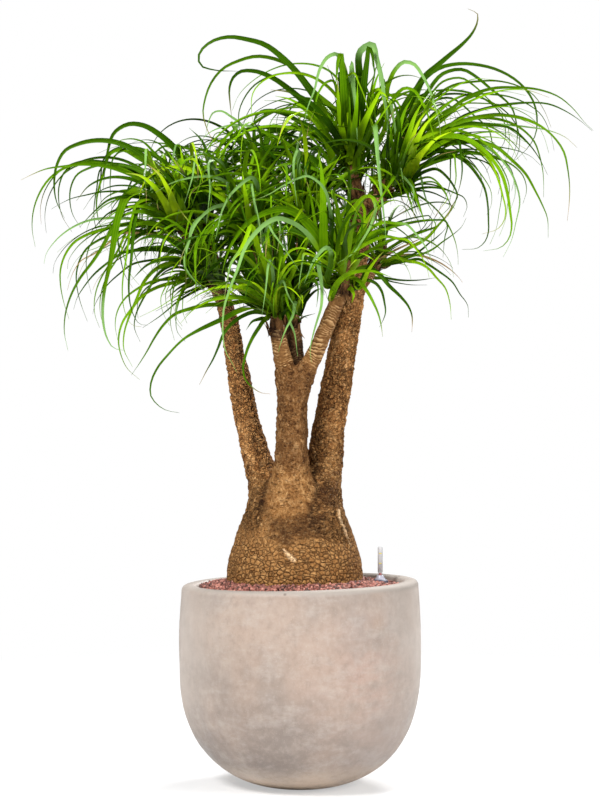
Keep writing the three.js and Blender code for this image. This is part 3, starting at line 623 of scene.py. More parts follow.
trunkBase = {
    "profile": [  # height, radius
        [396, 138], [424, 141], [441, 141], [458, 139], [475, 135.5], [492, 130.5], [509, 125],
        [526, 119], [542, 113], [556, 108], [570, 100], [582, 87], [592, 68], [599, 46], [603, 22],
    ],
    "segments": 128,
    "voxel": 2.55,
    "smoothing": 7,
    "plate": 2.2,  # how far the plates of bark stand out from the cracks
    # The hollows beside the flare and the folds across the base sink the bark and are painted with shade.
    "hollows": [[56, 604, 34, 44, 0.95], [-86, 604, 26, 28, 0.6]],  # x, z, their reaches, share
    "folds": [[530, -12, 34], [519, 12, 30], [541, 22, 42], [508, 2, 24]],  # height, middle, reach
}

# Each point is x, y, z and the limb's radius there.
oldLimbs = {
    "trunkLeft": [
        [-47, -30, 520, 74], [-52, -24, 548, 68], [-58, -14, 574, 59], [-64, 0, 600, 45], [-75, 18, 632, 36],
        [-87, 24, 667, 31], [-98, 40, 707, 28], [-107, 47, 740, 26], [-118, 50, 787, 25], [-127, 52, 841, 24],
        [-137, 54, 890, 21.5], [-145, 56, 944, 20.5], [-156, 58, 992, 18], [-164, 58, 1024, 17],
    ],
    "trunkRight": [
        [20, -24, 520, 88], [29, -24, 548, 75], [35, -20, 574, 60], [40, -10, 600, 47],
        [46, 12, 632, 41], [53, 34, 680, 37.5], [60, 44, 734, 34.5], [69, 45, 787, 32.5],
        [80, 45, 850, 31], [92, 45, 920, 29.5], [103, 45, 971, 26], [113, 45, 1030, 24],
        [120, 45, 1100, 23], [128, 45, 1167, 25], [136, 45, 1198, 27], [139, 45, 1214, 23],
    ],
    "trunkCentre": [
        [-17, -6, 500, 116], [-18, -12, 530, 102], [-18, -20, 558, 87], [-18, -28, 584, 71],
        [-18, -33, 606, 57], [-18, -38, 632, 45], [-17, -42, 659, 38], [-17, -45, 690, 34],
        [-17, -46, 735, 31.5], [-16, -47, 788, 31], [-15, -46, 825, 31.5],
    ],
    "forkLeft": [[-20, -46, 800, 24], [-25, -48, 832, 24], [-30, -52, 858, 22], [-34, -55, 880, 18]],
    "forkRight": [[-8, -46, 800, 24], [0, -49, 832, 25], [10, -52, 856, 22.5], [20, -55, 876, 17.5]],
}
youngLimbs = {
    "branchLeftFront": [
        [-27, -50, 836, 17], [-34, -55, 878, 18.5], [-42, -61, 914, 16.5], [-47, -65, 944, 16.5],
    ],
    "branchRightFront": [
        [2, -50, 834, 17], [15, -53, 862, 19], [30, -58, 893, 17], [51, -66, 941, 16], [70, -73, 988, 15],
        [87, -78, 1025, 15.5],
    ],
    "branchMiddle": [[-10, -36, 830, 16], [-8, -28, 864, 19], [-12, -20, 922, 16], [-31, 0, 1006, 16]],
    "twigMiddleFront": [[-10, -24, 890, 12], [-9, -36, 925, 11], [-10, -44, 956, 11]],
    "twigCentreLeft": [[-28, -2, 990, 13], [-68, -6, 1056, 13], [-102, -10, 1108, 13]],
    "twigCentre": [[-30, 0, 994, 13], [-14, 5, 1062, 12], [6, 10, 1128, 13]],
    "twigBack": [[-32, 4, 990, 13], [-52, 60, 1098, 13], [-78, 120, 1205, 13]],
    "twigLeftLow": [[-158, 58, 996, 15], [-170, 46, 1022, 14], [-182, 28, 1046, 14]],
    "twigLeftOut": [[-160, 58, 1002, 15], [-200, 50, 1090, 14], [-246, 42, 1166, 14]],
    "twigLeftUp": [[-160, 62, 1000, 15], [-182, 80, 1084, 14], [-204, 90, 1158, 14]],
    "twigRightBack": [[104, 46, 986, 17], [128, 82, 1040, 14], [152, 100, 1080, 14]],
    "twigTopLeft": [[134, 42, 1186, 18], [124, 34, 1214, 17], [118, 30, 1230, 17]],
    "twigTopRight": [[140, 46, 1190, 20], [156, 44, 1216, 18], [170, 42, 1236, 17]],
}


# A limb's skin before its bark: rings of its radius about its path.
def limbRings(path, rows, columns):
    spine = smoothPath(path, rows)
    tangents, sides, normals = pathFrames(spine[:, :3], np.array([1.0, 0.0, 0.0]))
    angle = np.linspace(0, 2 * np.pi, columns, endpoint=False)[:, None]
    around = np.cos(angle) * sides[:, None] + np.sin(angle) * normals[:, None]
    return spine, tangents, around


# The base and the limbs as overlapping closed skins, made one skin of small even faces.
def roughTrunk():
    profile = np.array(trunkBase["profile"], float)
    rings = turnedRings(profile[:, ::-1], trunkBase["segments"], baseCentre)
    parts = [closedRings(rings, (*baseCentre, profile[0, 0]), (*baseCentre, profile[-1, 0]))]
    for path in oldLimbs.values():
        spine, tangents, around = limbRings(path, 30, 40)
        skin = spine[:, None, :3] + around * spine[:, None, 3:]
        cap = spine[-1, :3] + tangents[-1] * spine[-1, 3] * 0.25
        parts.append(closedRings(skin, spine[0, :3], cap))
    mould = bpy.data.objects.new("mould", joinParts("mould", parts))
    bpy.context.scene.collection.objects.link(mould)
    remesh = mould.modifiers.new("skin", "REMESH")
    remesh.mode = "VOXEL"
    remesh.voxel_size = trunkBase["voxel"] * mm
    mesh = bpy.data.meshes.new_from_object(mould.evaluated_get(bpy.context.evaluated_depsgraph_get()))
    bpy.data.objects.remove(mould)
    return mesh


def getPoints(mesh):
    points = np.empty(len(mesh.vertices) * 3, np.float32)
    mesh.vertices.foreach_get("co", points)
    return points.reshape(-1, 3).astype(float)


def getNormals(mesh):
    normals = np.empty(len(mesh.vertices) * 3, np.float32)
    mesh.vertex_normals.foreach_get("vector", normals)
    return normals.reshape(-1, 3).astype(float)


# Each point moves half way to the mean of its neighbours, a few times.
def smoothPoints(mesh, points, times):
    edges = np.empty(len(mesh.edges) * 2, np.int32)
    mesh.edges.foreach_get("vertices", edges)
    first, second = edges.reshape(-1, 2).T
    degree = np.bincount(edges, minlength=len(points))[:, None]
    for _ in range(times):
        total = np.stack([
            np.bincount(first, points[second, i], len(points))
            + np.bincount(second, points[first, i], len(points))
            for i in range(3)
        ], -1)
        points = points + 0.5 * (total / degree - points)
    return points


# For each point: how far along its nearest limb it is, its angle round it, that limb's number (the base is
# 0), the second nearest's number, and the crease: how nearly both are as close. The crease is where the bark
# sinks and is painted with shade. A limb's nearness is the distance to its middle line over its radius.
def limbCoordinates(points):
    profile = np.array(trunkBase["profile"], float)
    fromCentre = points[:, :2] - baseCentre
    baseRadius = np.interp(points[:, 2], profile[:, 0], profile[:, 1])
    best = np.hypot(*fromCentre.T) / baseRadius
    result = {
        "along": points[:, 2], "angle": np.arctan2(fromCentre[:, 1], fromCentre[:, 0]),
        "limb": np.zeros(len(points), int), "other": np.zeros(len(points), int),
        "second": np.full(len(points), 9.0),
    }
    for number, path in enumerate(oldLimbs.values(), start=1):
        spine, tangents, around = limbRings(path, 60, 4)
        reach = np.full(len(points), np.inf)
        nearest = np.zeros(len(points), int)
        for row, place in enumerate(spine):
            ratio = np.linalg.norm(points - place[:3], axis=1) / place[3]
            nearest = np.where(ratio < reach, row, nearest)
            reach = np.minimum(reach, ratio)
        offset = points - spine[nearest, :3]
        lengths = np.concatenate([[0], np.cumsum(np.linalg.norm(np.diff(spine[:, :3], axis=0), axis=1))])
        along = lengths[nearest] + (offset * tangents[nearest]).sum(-1)
        angle = np.arctan2((offset * around[nearest, 1]).sum(-1), (offset * around[nearest, 0]).sum(-1))
        closer = reach < best
        between = ~closer & (reach < result["second"])
        result["other"] = np.where(closer, result["limb"], np.where(between, number, result["other"]))
        result["second"] = np.where(closer, best, np.minimum(result["second"], reach))
        here = {"along": along, "angle": angle, "limb": number}
        for key, values in here.items():
            result[key] = np.where(closer, values, result[key])
        best = np.minimum(best, reach)
    result["creaseShade"] = 1.0 - smoothStep(0.01, 0.12, result["second"] - best)
    return result


# Pale torn places on the front of the base, as they are seen: x, z and half the width.
trunkScars = [
    [[-34, 487, 1.6], [-27, 479, 3.0], [-19, 471, 5.2], [-12, 465, 4.2]],
    [[79, 570, 1.9], [83, 552, 2.7], [89, 535, 1.7], [94, 521, 2.1], [99, 508, 1.2], [104, 494, 0.9]],
    [[103, 548, 2.4], [105, 547, 2.4]],
]


# How much of each point of the front lies in a scar: 1 within its width, 0 past it.
def scarShare(points, normals):
    x, z = frontView(points)
    nearest = np.full(len(points), 9.0)
    for scar in trunkScars:
        for middle in smoothPath(scar, 26):
            nearest = np.minimum(nearest, np.hypot(x - middle[0], z - middle[1]) / middle[2])
    torn = smoothStep(-0.75, -0.3, layeredNoise(points, 7, 177))
    return smoothStep(1.35, 0.6, nearest) * (normals[:, 1] < 0.2) * torn


# Where the base is pinched below the centre trunk, and hollows beside it that fade with the square of the
# distance in an exponential. The bark sinks there and is painted with shade.
def pinchedBelt(points, onCentre, warp, warpOther):
    x, y, height = points.T
    front = smoothStep(50, -50, y) * smoothStep(102, 35, np.abs(x + 2))
    belt = front * smoothStep(586, 550, height + 16 * warp) * smoothStep(482, 518, height + 20 * warpOther)
    for middleX, middleZ, reachX, reachZ, share in trunkBase["hollows"]:
        away = ((x - middleX + 8 * warp) / reachX) ** 2 + ((height - middleZ) / reachZ) ** 2
        belt = np.maximum(belt, share * np.exp(-away) * ~onCentre * smoothStep(70, 10, y))
    return belt


# Thin folds across the front of the base: bent lines that fade out on both sides and at their ends.
def foldShare(points, warp):
    fold = np.zeros(len(points))
    for height, middle, reach in trunkBase["folds"]:
        across = points[:, 0] - middle
        bent = points[:, 2] - height - 0.0016 * across ** 2 - 4 * warp
        fold = np.maximum(fold, np.exp(-(across / reach) ** 2) * np.exp(-(bent / 2.4) ** 2))
    return fold * (points[:, 1] < 0)


# The skin moves along its normals by the sum of its plates, grain, folds, furrows and scars.
def makeTrunk():
    mesh = roughTrunk()
    points = smoothPoints(mesh, getPoints(mesh), trunkBase["smoothing"]) / mm
    mesh.vertices.foreach_set("co", (points * mm).astype(np.float32).ravel())
    mesh.update()
    normals = getNormals(mesh)
    at = limbCoordinates(points)
    limb, turn = at["limb"], at["angle"] / (2 * np.pi) + 0.5
    onBase = (limb == 0).astype(float)
    onCentre = limb >= 3
    height = points[:, 2]
    warp = layeredNoise(points, 34, 61)
    warpOther = layeredNoise(points, 34, 67)
    # Trunks: small plates, with finer cracks between them.
    edgeTrunk, toneTrunk = barkCells(
        turn * 20 + 0.7 * warp, at["along"] / 11 + 0.9 * warpOther, 20, 0.95, 97)
    edgeFine, _ = barkCells(turn * 40 + 0.8 * warpOther, at["along"] / 5.2 + 0.8 * warp, 40, 0.95, 101)
    edge = np.minimum(edgeTrunk, edgeFine + 0.12)
    flare = onCentre * smoothStep(700, 640, height) * smoothStep(560, 590, height)
    patches = smoothStep(-0.5, 0.45, layeredNoise(points, 40, 79))
    softer = (1 - onBase) * np.where(onCentre, 0.45, 1.0) * (0.6 + 0.4 * patches) * (1 - 0.5 * flare)
    crack = (1.0 - smoothStep(0.03, 0.24, edge)) * (1 - onBase) * softer
    relief = trunkBase["plate"] * (0.25 - crack) + 0.8 * (toneTrunk - 0.5) * softer
    grainy = layeredNoise(points * [1, 1, 1.5], 9, 107, 2) * (1.8 - 0.8 * onBase)
    relief = relief + 1.3 * layeredNoise(points, 46, 103) + grainy
    # The side trunks are pinched where they leave the flare; the flare runs on into the base.
    beside = at["creaseShade"] * smoothStep(545, 575, height) * smoothStep(780, 700, height)
    beside = beside * (np.isin(limb, (1, 2)) | np.isin(at["other"], (1, 2)))
    belt = pinchedBelt(points, onCentre, warp, warpOther)
    wrinkled = points * [1, 1, 2.6] + 9 * np.stack([warp, warpOther, warp], -1)
    furrow = belt * smoothStep(0.78, 0.97, 1 - np.abs(layeredNoise(wrinkled, 26, 113, 3)))
    fold = foldShare(points, warp)
    scar = scarShare(points, normals)
    relief = relief - 1.8 * beside - 1.6 * fold - 2.0 * furrow - 0.6 * belt + 3.0 * scar
    points = points + normals * relief[:, None]
    mesh.vertices.foreach_set("co", (points * mm).astype(np.float32).ravel())
    mesh.polygons.foreach_set("use_smooth", np.ones(len(mesh.polygons), bool))
    mesh.update()
    mesh.name = "trunk_bark"
    # Painted light on the side trunks: their colour is multiplied up, more with height. Their gold tones are
    # partly their own colour and partly painted light.
    lit = np.where(limb == 2, 0.72 * smoothStep(640, 820, height), 0.58 * smoothStep(600, 680, height))
    golden = np.where(limb == 2, 1.0, np.where(limb == 1, 0.8, 0.05))
    looks = {
        "crack": crack,
        "plate": toneTrunk,
        "plated": smoothStep(592, 545, height + 12 * warp) * (1 - 0.7 * belt),
        "blocky": smoothStep(540, 495, height + 14 * warpOther),
        "rough": np.where(onCentre, 0.3 * (1 - flare), 1.0) * (1 - onBase) * (0.6 + 0.4 * patches),
        "lit": lit * np.isin(limb, (1, 2)),
        # Painted shade in the creases between limbs, the folds and the furrows, and in the pinched belt.
        "creaseShade": np.clip(beside + 0.7 * fold + 0.6 * furrow, 0, 1),
        "pinchedShade": belt,
        "scar": scar,
        "base": np.maximum(np.maximum(smoothStep(600, 560, height), 0.62 * flare), golden),
        "peel": (limb == 2) * smoothStep(1050, 1150, height),
    }
    for name, values in looks.items():
        setAttribute(mesh, name, values)
    print("trunk skin has", len(mesh.polygons), "faces")
    return addPiece(mesh, barkMaterial(), replaces=["trunk"])


# Cells in the bark: how far a point is from the crack round its cell, and the cell's own tone.
def barkPlates(tree, vector, scale):
    at = stretched(tree, vector, scale)
    gap = addNode(tree, "ShaderNodeTexVoronoi", {"Vector": at, "Scale": 1.0, "Randomness": 0.85},
                  feature="DISTANCE_TO_EDGE")
    cell = addNode(tree, "ShaderNodeTexVoronoi", {"Vector": at, "Scale": 1.0, "Randomness": 0.85})
    return gap.outputs["Distance"], cell.outputs["Color"]


# An attribute as a mask whose soft edge is torn by a noise.
def ragged(tree, name, torn, low, high, most):
    pushed = times(tree, less(tree, torn, 0.5), 1.8)
    return remap(tree, plus(tree, attribute(tree, name), pushed), low, high, 0, most)


barkLook = {
    "golden": [
        (0.36, (0.17, 0.066, 0.019)), (0.46, (0.34, 0.155, 0.047)), (0.56, (0.48, 0.244, 0.084)),
        (0.68, (0.76, 0.44, 0.185)),
    ],
    "brown": [
        (0.36, (0.080, 0.030, 0.009)), (0.46, (0.190, 0.082, 0.025)), (0.56, (0.305, 0.143, 0.048)),
        (0.68, (0.56, 0.32, 0.135)),
    ],
    "peel": [(0.3, (0.07, 0.022, 0.011)), (0.7, (0.30, 0.115, 0.055))],
    # Painted light: the side trunks' colour is multiplied by the next colour.
    "lit": (2.0, 1.95, 2.0, 1),  # the side trunks' colour is multiplied by this
    # The pinched colour on this line is painted shade, and so is the crease colour two lines on.
    "cloud": (0.13, 0.050, 0.016, 1), "pinchedShade": (0.070, 0.028, 0.010, 1),
    "dash": (0.045, 0.016, 0.005, 1), "fleck": (0.66, 0.42, 0.20, 1),
    "crack": (0.040, 0.014, 0.005, 1), "creaseShade": (0.028, 0.010, 0.004, 1), "scar": (1.0, 0.66, 0.36, 1),
}


# Plates and fibres pick a tone, gold or brown by the place on the plant, the side trunks' gold partly painted
# light, and the side trunks' colour is multiplied up as painted light. Painted shade in the pinched belt,
# peeling, cracks, painted shade in the creases and pale torn scars lie over it in turn; cracks are also deep.
def barkMaterial():
    material, tree, shader, place = newMaterial("bark", Specular_IOR_Level=0.12)
    look = barkLook
    weathered = weather(tree, place, 26.0, 260.0, 0.35)
    fibres = noise(tree, stretched(tree, place, (210, 210, 130)), 1.0, 4.0, 0.75)
    dashes = noise(tree, stretched(tree, place, (95, 95, 235)), 1.0, 3.0, 0.7)
    flecks = noise(tree, stretched(tree, place, (190, 190, 230)), 1.0, 2.0, 0.6)
    blotches = noise(tree, place, 75.0, 4.0, 0.65)
    plated, blocky = attribute(tree, "plated"), attribute(tree, "blocky")
    wander = addNode(tree, "ShaderNodeTexNoise", {"Vector": place, "Scale": 55.0, "Detail": 2.0})
    bent = wander.outputs["Color"]
    steps = [("SUBTRACT", {1: (0.5, 0.5, 0.5)}), ("SCALE", {"Scale": 0.012}), ("ADD", {1: place})]
    for operation, inputs in steps:
        bent = addNode(tree, "ShaderNodeVectorMath", {0: bent, **inputs}, operation=operation).outputs[0]
    streaks = noise(tree, stretched(tree, bent, (55, 55, 130)), 1.0, 5.0, 0.75)
    gapLow, toneLow = barkPlates(tree, bent, (98, 98, 124))
    gapHigh, toneHigh = barkPlates(tree, bent, (150, 150, 88))
    gapTrunk = barkPlates(tree, bent, (112, 112, 185))[0]
    gap = mixColour(tree, blocky, gapHigh, gapLow)
    crackBase = plus(tree, remap(tree, gap, 0.0, 0.26, 0.42, 0), remap(tree, gap, 0.0, 0.09, 0.5, 0))
    crackBase = times(tree, crackBase, times(tree, plated, remap(tree, blotches, 0.35, 0.6, 0.6, 1)))
    crackTrunk = times(tree, remap(tree, gapTrunk, 0.0, 0.16, 1, 0), attribute(tree, "rough"))
    crackTrunk = times(tree, crackTrunk, remap(tree, blotches, 0.40, 0.54, 0.2, 1.0))
    crackFine = maths(tree, "MAXIMUM", crackBase, crackTrunk)
    crack = maths(tree, "MAXIMUM", attribute(tree, "crack"), crackFine)
    plate = mixColour(tree, plated, attribute(tree, "plate"), mixColour(tree, blocky, toneHigh, toneLow))
    calm = times(tree, plated, remap(tree, blocky, 0, 1, 0.2, 0.4))
    busy = less(tree, 1.0, calm)
    fine = plus(tree, times(tree, fibres, 0.72), times(tree, blotches, 0.16))
    fine = plus(tree, times(tree, fine, busy), times(tree, calm, 0.46))
    mixed = plus(tree, times(tree, plate, 0.14), fine)
    golden, brown = ramp(tree, mixed, look["golden"]), ramp(tree, mixed, look["brown"])
    colour = mixColour(tree, ragged(tree, "base", streaks, 0.40, 0.60, 1.0), brown, golden)
    colour = mixColour(tree, attribute(tree, "lit"), colour, look["lit"], "MULTIPLY")
    colour = layered(tree, colour, [
        (remap(tree, weathered["Clouds"], 0.45, 0.7, 0, 0.2), look["cloud"]),
        (ragged(tree, "pinchedShade", streaks, 0.42, 1.05, 0.84), look["pinchedShade"]),
        (times(tree, attribute(tree, "peel"), 0.75), ramp(tree, fibres, look["peel"])),
        (times(tree, remap(tree, dashes, 0.56, 0.63, 0, 0.72), busy), look["dash"]),
        (times(tree, remap(tree, flecks, 0.60, 0.68, 0, 0.3), busy), look["fleck"]),
        (times(tree, crack, 0.85), look["crack"]),
        (ragged(tree, "creaseShade", streaks, 0.40, 1.25, 0.85), look["creaseShade"]),
        (times(tree, attribute(tree, "scar"), remap(tree, fibres, 0.36, 0.5, 0.6, 1.0)), look["scar"]),
    ])
    relief = plus(tree, fibres, times(tree, weathered["Grain"], 0.5))
    relief = less(tree, relief, times(tree, dashes, 0.8))
    relief = less(tree, times(tree, relief, busy), crackFine)
    connect(tree, shader, Base_Color=colour, Roughness=remap(tree, fibres, 0.3, 0.7, 0.95, 0.8),
            Normal=bump(tree, relief, 0.006, 1.0))
    return material


# Young branches: r = radius + rings of leaf scars every few millimetres, which wander round the
# stem and fade in and out.
branchRings = {
    "pitch": 6.2, "height": 1.3, "step": 1.1, "columns": 44,
    "front": ("branchLeftFront", "branchRightFront"), "shaded": ("branchMiddle", "twigMiddleFront"),
}


def makeBranches():
    parts = []
    looks = {"ridge": [], "tone": [], "dark": []}
    for number, (name, path) in enumerate(youngLimbs.items()):
        length = np.linalg.norm(np.diff(np.array(path, float)[:, :3], axis=0), axis=1).sum()
        rows = int(length / branchRings["step"])
        spine, tangents, around = limbRings(path, rows, branchRings["columns"])
        along = np.linspace(0, length, rows)[:, None]
        surface = spine[:, None, :3] + around * spine[:, None, 3:]
        wander = 8.0 * smoothNoise(surface, 21, 137 + number) + 3.5 * smoothNoise(surface, 8, 141 + number)
        phase = (along + wander) / branchRings["pitch"]
        tooth = phase - np.floor(phase)
        ridge = np.where(tooth < 0.78, 0.35 + 0.65 * tooth / 0.78, np.abs(tooth - 0.9) / 0.1 * 0.35)
        fade = smoothStep(-0.4, 0.45, smoothNoise(surface, 13, 151 + number))
        dark = np.full(fade.shape, 0.35)
        if name in branchRings["front"]:
            fade = fade * smoothStep(0.0, 0.35, along / length)
            dark = 0.85 * smoothStep(length - 26, length - 8, along + wander)
        ridge = 0.45 + (ridge - 0.45) * (0.15 + 0.85 * fade)
        lift = branchRings["height"] * (ridge - 0.5) + 1.5 * layeredNoise(surface, 14, 139, 2)
        skin = surface + around * lift[..., None]
        parts.append(closedRings(skin, spine[0, :3], spine[-1, :3] + tangents[-1] * 2))
        # Painted shade on the lower front of the middle branch and twig, under the leaves.
        if name in branchRings["shaded"]:
            shaded = smoothStep(965, 900, skin[..., 2]) * smoothStep(0.5, -0.1, around[..., 1]) * 0.93
            dark = np.maximum(dark, shaded)
        for key, values in (("ridge", ridge), ("tone", fade), ("dark", dark)):
            looks[key].append(np.append(values.ravel(), [0.5, 0.5]))
    mesh = joinParts("branches_young", parts)
    for key, values in looks.items():
        setAttribute(mesh, key, np.concatenate(values))
    return addPiece(mesh, youngBark, replaces=["trunk"])


# Rings, fibres and blotches added up pick a tone from dark to pale. The dark attribute darkens it: torn tops
# on the front branches, painted shade on the lower front of the middle branch and twig, and a set share on
# the rest.
def youngBarkMaterial():
    material, tree, shader, place = newMaterial("young_bark", Specular_IOR_Level=0.2)
    weathered = weather(tree, place, 30.0, 300.0, 0.3)
    fibres = noise(tree, stretched(tree, place, (240, 240, 150)), 1.0, 4.0, 0.65)
    blotches = noise(tree, place, 95.0, 3.0, 0.6)
    mixed = plus(tree, times(tree, attribute(tree, "ridge"), 0.56), times(tree, fibres, 0.3))
    mixed = plus(tree, mixed, times(tree, blotches, 0.3))
    colour = ramp(tree, mixed, [
        (0.30, (0.026, 0.009, 0.003)), (0.45, (0.125, 0.052, 0.015)), (0.60, (0.26, 0.122, 0.036)),
        (0.80, (0.74, 0.46, 0.205)),
    ])
    dark = times(tree, attribute(tree, "dark"), remap(tree, fibres, 0.35, 0.6, 1.0, 0.72))
    colour = layered(tree, colour, [
        (remap(tree, weathered["Clouds"], 0.45, 0.65, 0, 0.5), (0.20, 0.088, 0.027, 1)),
        (dark, (0.022, 0.009, 0.004, 1)),
    ])
    relief = plus(tree, fibres, times(tree, weathered["Grain"], 0.5))
    connect(tree, shader, Base_Color=colour, Roughness=remap(tree, fibres, 0.3, 0.7, 0.85, 0.7),
            Normal=bump(tree, relief, 0.003, 0.9))
    return material


makeTrunk()
youngBark = youngBarkMaterial()
makeBranches()
print("trunks and branches made")


# Leaves

# Each head: the limb it ends, the way it points, the length of its stem tip, how many leaves it has beside
# those listed, their lengths and width, and how dark they may be.
leafHeads = {
    "topLeft": {
        "limb": "twigTopLeft", "axis": [-0.08, -0.1, 1], "core": 90,
        "leaves": 56, "length": [340, 540], "width": 16, "leastTone": 0.2,
    },
    "topRight": {
        "limb": "twigTopRight", "axis": [0.6, -0.08, 0.8], "core": 90,
        "leaves": 50, "length": [320, 520], "width": 14, "leastTone": 0.2,
    },
    "rightFront": {
        "limb": "branchRightFront", "axis": [0.15, -0.3, 1], "core": 62,
        "leaves": 66, "length": [210, 380], "width": 16,
    },
    "leftFront": {
        "limb": "branchLeftFront", "axis": [-0.12, -0.25, 1], "core": 62,
        "leaves": 76, "length": [210, 380], "width": 15,
    },
    "middleFront": {
        "limb": "twigMiddleFront", "axis": [0.1, -0.2, 1], "core": 48,
        "leaves": 36, "length": [140, 250], "width": 12,
    },
    "leftLow": {
        "limb": "twigLeftLow", "axis": [-0.55, -0.35, 0.8], "core": 64,
        "leaves": 38, "length": [220, 370], "width": 13, "leastTone": 0.28,
    },
    "leftOut": {
        "limb": "twigLeftOut", "axis": [-0.7, -0.05, 0.75], "core": 76,
        "leaves": 58, "length": [230, 390], "width": 14, "leastTone": 0.28,
    },
    "leftUp": {
        "limb": "twigLeftUp", "axis": [-0.25, 0.25, 1], "core": 76,
        "leaves": 68, "length": [260, 440], "width": 14, "leastTone": 0.28,
    },
    "centreLeft": {
        "limb": "twigCentreLeft", "axis": [-0.3, -0.3, 1], "core": 70,
        "leaves": 78, "length": [240, 420], "width": 17,
    },
    "centre": {
        "limb": "twigCentre", "axis": [0.1, -0.15, 1], "core": 70,
        "leaves": 78, "length": [240, 420], "width": 17,
    },
    "back": {
        "limb": "twigBack", "axis": [-0.15, 0.45, 1], "core": 72,
        "leaves": 84, "length": [280, 480], "width": 17,
    },
    "rightBack": {
        "limb": "twigRightBack", "axis": [0.5, 0.55, 0.75], "core": 66,
        "leaves": 40, "length": [250, 420], "width": 13,
    },
}

# Leaves listed one by one, as they are seen from the camera. Each has its width, its tone (0 dark to 1
# yellow-green, -1 dried), how much of it, from its end, is pale with a waxy bloom and a painted sheen, and
# how far back its end is, and then x, z, x, z and so on along it, in millimetres at the planter's distance.
leafGuides = {}
leafGuides["topLeft"] = [
    [(18, 0.12, 0, 20), 75, 1360, 50, 1400, 20, 1445, -10, 1485, -40, 1515, -75, 1540, -110, 1550, -150, 1555,
     -185, 1545, -205, 1528, -212, 1510, -205, 1495, -180, 1487, -130, 1484],
    [(12, 0.3, 0, 60), 75, 1400, 30, 1440, -20, 1495, -55, 1510, -90, 1515, -130, 1505, -160, 1490,
     -185, 1460, -198, 1425, -202, 1395, -196, 1370, -185, 1345, -165, 1320],
    [(18, 0.08, 0, -20), 85, 1330, 60, 1370, 20, 1410, -20, 1445, -60, 1472, -100, 1485, -125, 1483,
     -140, 1470, -147, 1450, -146, 1420, -142, 1385],
    [(9, 0.7, 0, -60), 90, 1410, 70, 1440, 40, 1465, 0, 1480, -30, 1480, -55, 1475, -75, 1465, -95, 1445,
     -100, 1390, -97, 1370],
    [(7, 0.2, 0, 90), 70, 1440, 40, 1465, -15, 1480, -70, 1470, -95, 1455, -115, 1430, -127, 1400, -128, 1375,
     -122, 1345, -100, 1300],
    [(7, 0.35, 0, 40), 85, 1460, 60, 1485, 30, 1497, 0, 1500, -30, 1497, -60, 1487, -90, 1470, -130, 1430,
     -140, 1405],
    [(10, 0.08, 0, 30), 60, 1320, 30, 1350, 10, 1370, -10, 1385, -35, 1396, -60, 1398, -85, 1390, -100, 1378],
    [(15, 0.5, 0.55, -90), 97, 1420, 86, 1490, 75, 1520, 60, 1515, 42, 1490, 30, 1445, 15, 1405, 10, 1380],
    [(21, 0.15, 0, -60), 103, 1380, 100, 1440, 95, 1490, 85, 1522],
    [(20, 0.55, 0.9, -80), 108, 1400, 106, 1460, 107, 1500, 111, 1450, 117, 1390, 120, 1330],
    [(22, 0.1, 0.55, -90), 118, 1400, 124, 1470, 130, 1530, 150, 1540, 160, 1510, 170, 1470, 175, 1430,
     182, 1390, 180, 1340],
    [(10, 0.35, 0, -50), 115, 1430, 140, 1455, 155, 1480, 150, 1500],
    [(14, 0.6, 0.5, -80), 150, 1340, 175, 1400, 185, 1460, 200, 1490, 215, 1503, 235, 1500, 255, 1475,
     270, 1445, 280, 1415, 290, 1380, 293, 1350],
    [(15, 0.8, 0, -70), 125, 1380, 140, 1400, 150, 1440, 165, 1447, 175, 1420, 178, 1380],
    [(20, 0.75, 0, -50), 95, 1300, 88, 1360, 80, 1420, 78, 1470],
    [(26, 0.35, 0, -100), 102, 1305, 97, 1370, 92, 1440, 88, 1500, 85, 1521, 80, 1508, 77, 1482, 74, 1450],
    [(25, 0.15, 0, -95), 112, 1320, 122, 1380, 132, 1450, 140, 1510, 144, 1534, 149, 1524, 153, 1500,
     156, 1470],
    [(23, 0.85, 0, -110), 110, 1300, 122, 1345, 140, 1390, 158, 1425, 168, 1440, 176, 1436, 184, 1418],
    [(20, 0.6, 0, -105), 106, 1300, 112, 1360, 118, 1410, 120, 1462],
    [(18, 0.05, 0, -80), 98, 1300, 78, 1345, 52, 1385, 20, 1420, -20, 1440, -60, 1445],
    [(18, 0.85, 0, -60), 112, 1290, 108, 1340, 100, 1400, 96, 1440],
    [(20, 0.7, 0, -20), 80, 1280, 60, 1330, 40, 1370, 15, 1400, -20, 1425, -50, 1432],
    [(16, 0.6, 0, -40), 130, 1300, 140, 1360, 148, 1420, 160, 1470, 175, 1500],
    [(15, 0.2, 0, -10), 90, 1250, 50, 1285, 10, 1310, -30, 1325, -70, 1325, -100, 1310],
    [(12, 0.4, 0, 30), 60, 1260, 10, 1300, -45, 1345, -95, 1360, -140, 1350],
]
